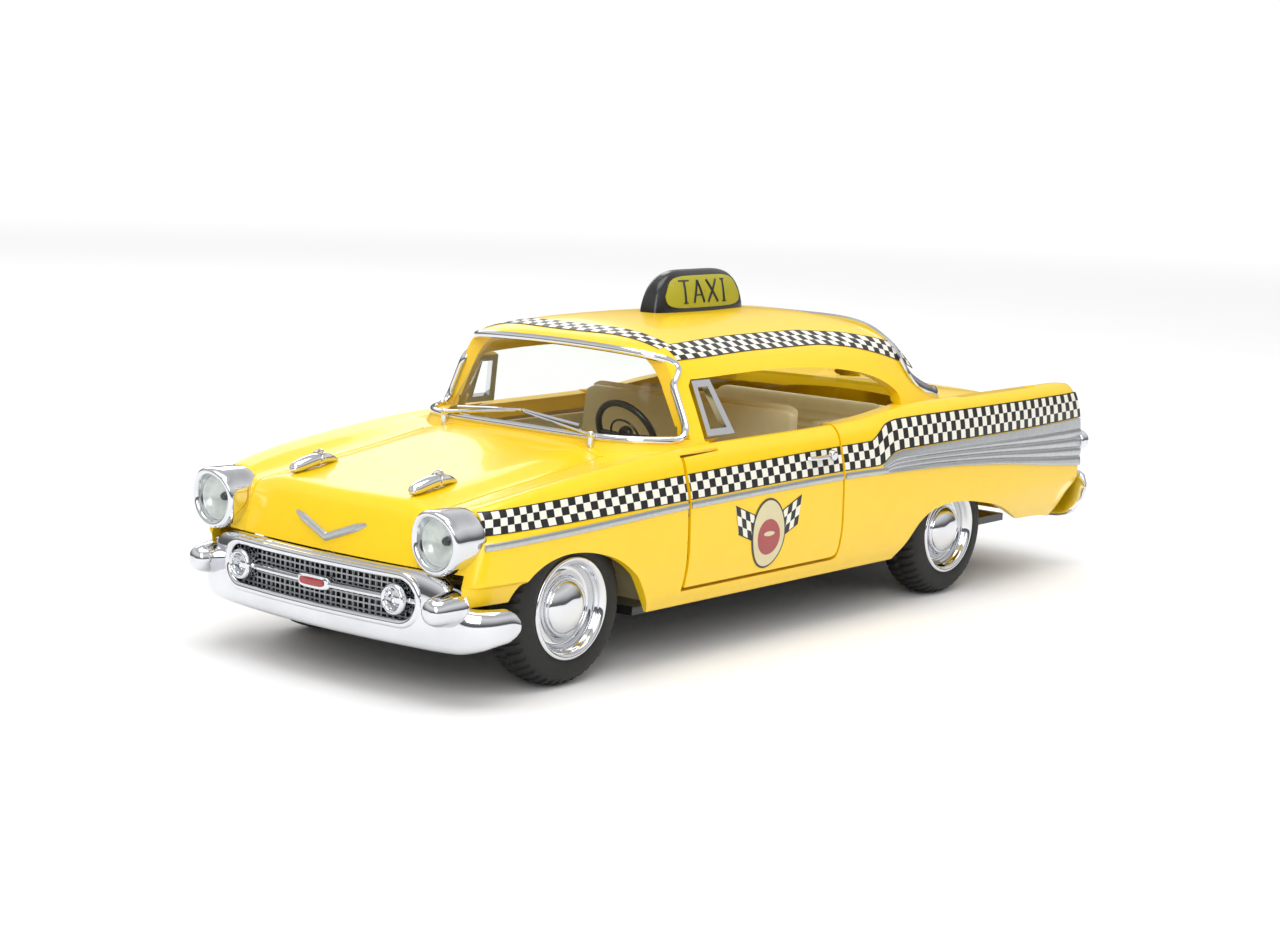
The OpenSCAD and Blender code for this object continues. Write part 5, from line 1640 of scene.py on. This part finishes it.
@dataclass
class RoofSign:
    """Loaf-shaped sign with an olive panel and the plain generic word on both sides."""

    at: tuple = (-0.3, -0.2)
    turn: float = 3.0
    levels: tuple = ((9.5, 2.1, 36.2), (9.35, 2.05, 37.4), (8.9, 1.85, 38.9), (8.2, 1.6, 40.1),
                     (7.2, 1.3, 41.0), (6.0, 0.95, 41.6), (4.0, 0.5, 41.95))

    def move(self, p: Array) -> Array:
        """Turns points about the upright axis and moves them to the sign's place."""
        c, s = math.cos(math.radians(self.turn)), math.sin(math.radians(self.turn))
        x, y = p[..., 0], p[..., 1]
        return np.stack([self.at[0] + c * x - s * y, self.at[1] + s * x + c * y, p[..., 2]], -1)

    def build(self) -> None:
        """Builds the housing by superellipse levels, then lays the panels and strokes on it."""
        a = np.linspace(0, 2 * math.pi, 120, endpoint=False)
        size = (np.abs(np.cos(a)) ** 4 + np.abs(np.sin(a)) ** 4) ** -0.25
        rows = [np.stack([l * size * np.cos(a), w * size * np.sin(a), z + 0 * a], -1) for l, w,
                z in self.levels]
        knots = np.stack([*rows, rows[-1] * [0, 0, 1] + [0, 0, 0.05]])
        grid = np.moveaxis(smooth_rows(np.moveaxis(knots, 0, -1), np.linspace(0, 7, 50)), -1, 0)
        foot = rows[0] * [0, 0, 1]
        housing = surface("sign_loaf", self.move(np.concatenate([foot[None], grid])), wrap_columns=True)
        outward(housing)
        for side in Side:
            self.panel(housing, side)
        Workshop.piece(Workshop.dress(housing, BLACK), "car", "black_plastic", "sign_housing")

    def project(self, housing: bpy.types.Object, x: Array, z: Array, side: Side, lift: float) -> Array:
        """Points at (x, z) of the sign's own frame laid on its flank.

        Args:
            housing: sign's housing.
            x: places along the sign.
            z: heights.
            side: flank to lay them on.
            lift: height above the flank.

        Returns:
            Points with the last axis added.
        """
        s = side.value
        flat = self.move(np.stack([x, 0 * x + s * 30, z], -1))
        way = Vector(self.move(np.array([0, -s * 1.0, 0])) - self.move(np.zeros(3)))
        hits = np.array([tuple(housing.ray_cast(Vector(p) * MM, way)[1]) for p in flat.reshape(-1, 3)]) / MM
        return hits.reshape(flat.shape) + np.array([0, s * lift, 0.3 * lift])

    def panel(self, housing: bpy.types.Object, side: Side) -> None:
        """Rounded olive panel, narrower at its top, with strokes of 0.4 mm for the four letters."""
        r, t = np.meshgrid(np.linspace(0.02, 1, 14), np.linspace(0, 2 * math.pi, 97))
        size = (np.abs(np.cos(t)) ** 5 + np.abs(np.sin(t)) ** 5) ** -0.2
        u, v = r * size * np.cos(t), r * size * np.sin(t)
        z = SIGN_MIDDLE_Z + 1.95 * v
        x = u * (7.7 - 1.15 * np.clip(v + 0.2, 0, 2))
        plate = sheet(f"sign_face_{side.word}", self.project(housing, x, z, side, 0.1), OLIVE, thick=0.2)
        Workshop.piece(plate, "car", "olive_panel", f"sign_panel_{side.word}", degrees=60)
        parts = []
        for x0, lines in LETTERS.items():
            for (xa, za), (xb, zb) in lines:
                n = np.linspace(0, 1, 10)
                x = -side.value * (x0 + xa + (xb - xa) * n)
                path = self.project(housing, x, SIGN_MIDDLE_Z + za + (zb - za) * n, side, 0.12)
                wide = 0.1 if za == zb else 0.2
                parts.append(tube("part", path, wide, 8, 0.45 if za != zb else 0.8, up=(0, side.value, 0)))
        word = Workshop.dress(join(f"sign_word_{side.word}", parts), BLACK)
        Workshop.piece(word, "car", "black_plastic")


def dress_cad_nodes() -> None:
    """Gives every CAD node that is still shown the finish of its material slot."""
    for name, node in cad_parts.items():
        slots = [m.name.split(".")[0] for m in node.data.materials if m]
        finish = SLOT_FINISH.get(slots[0] if slots else "", GREY)
        LOG.info("CAD node %s: %s -> %s", name, slots, finish.name)
        for index in range(len(node.data.materials)):
            node.data.materials[index] = Workshop.material(finish)


def main() -> None:
    """Builds the stage and every sub-assembly in order."""
    logging.basicConfig(level=logging.INFO, format="%(message)s")
    Stage().build()
    dress_cad_nodes()
    casting = BodyCasting()
    casting.build()
    for side in Side:
        Door(casting, side).build()
    Glass().build()
    Prints().build()
    RoofPrints(casting).build()
    Trim(casting).build()
    Nose().build()
    Lamps().build()
    RearBumper().build()
    for end in ("front", "rear"):
        for side in Side:
            Wheel(end, side).build()
    Seat("front_seat", 1.5).build()
    Seat("rear_seat", 1.15).build()
    Cockpit().build()
    RoofSign().build()
    casting.tidy_up()


if __name__ == "__main__":
    main()
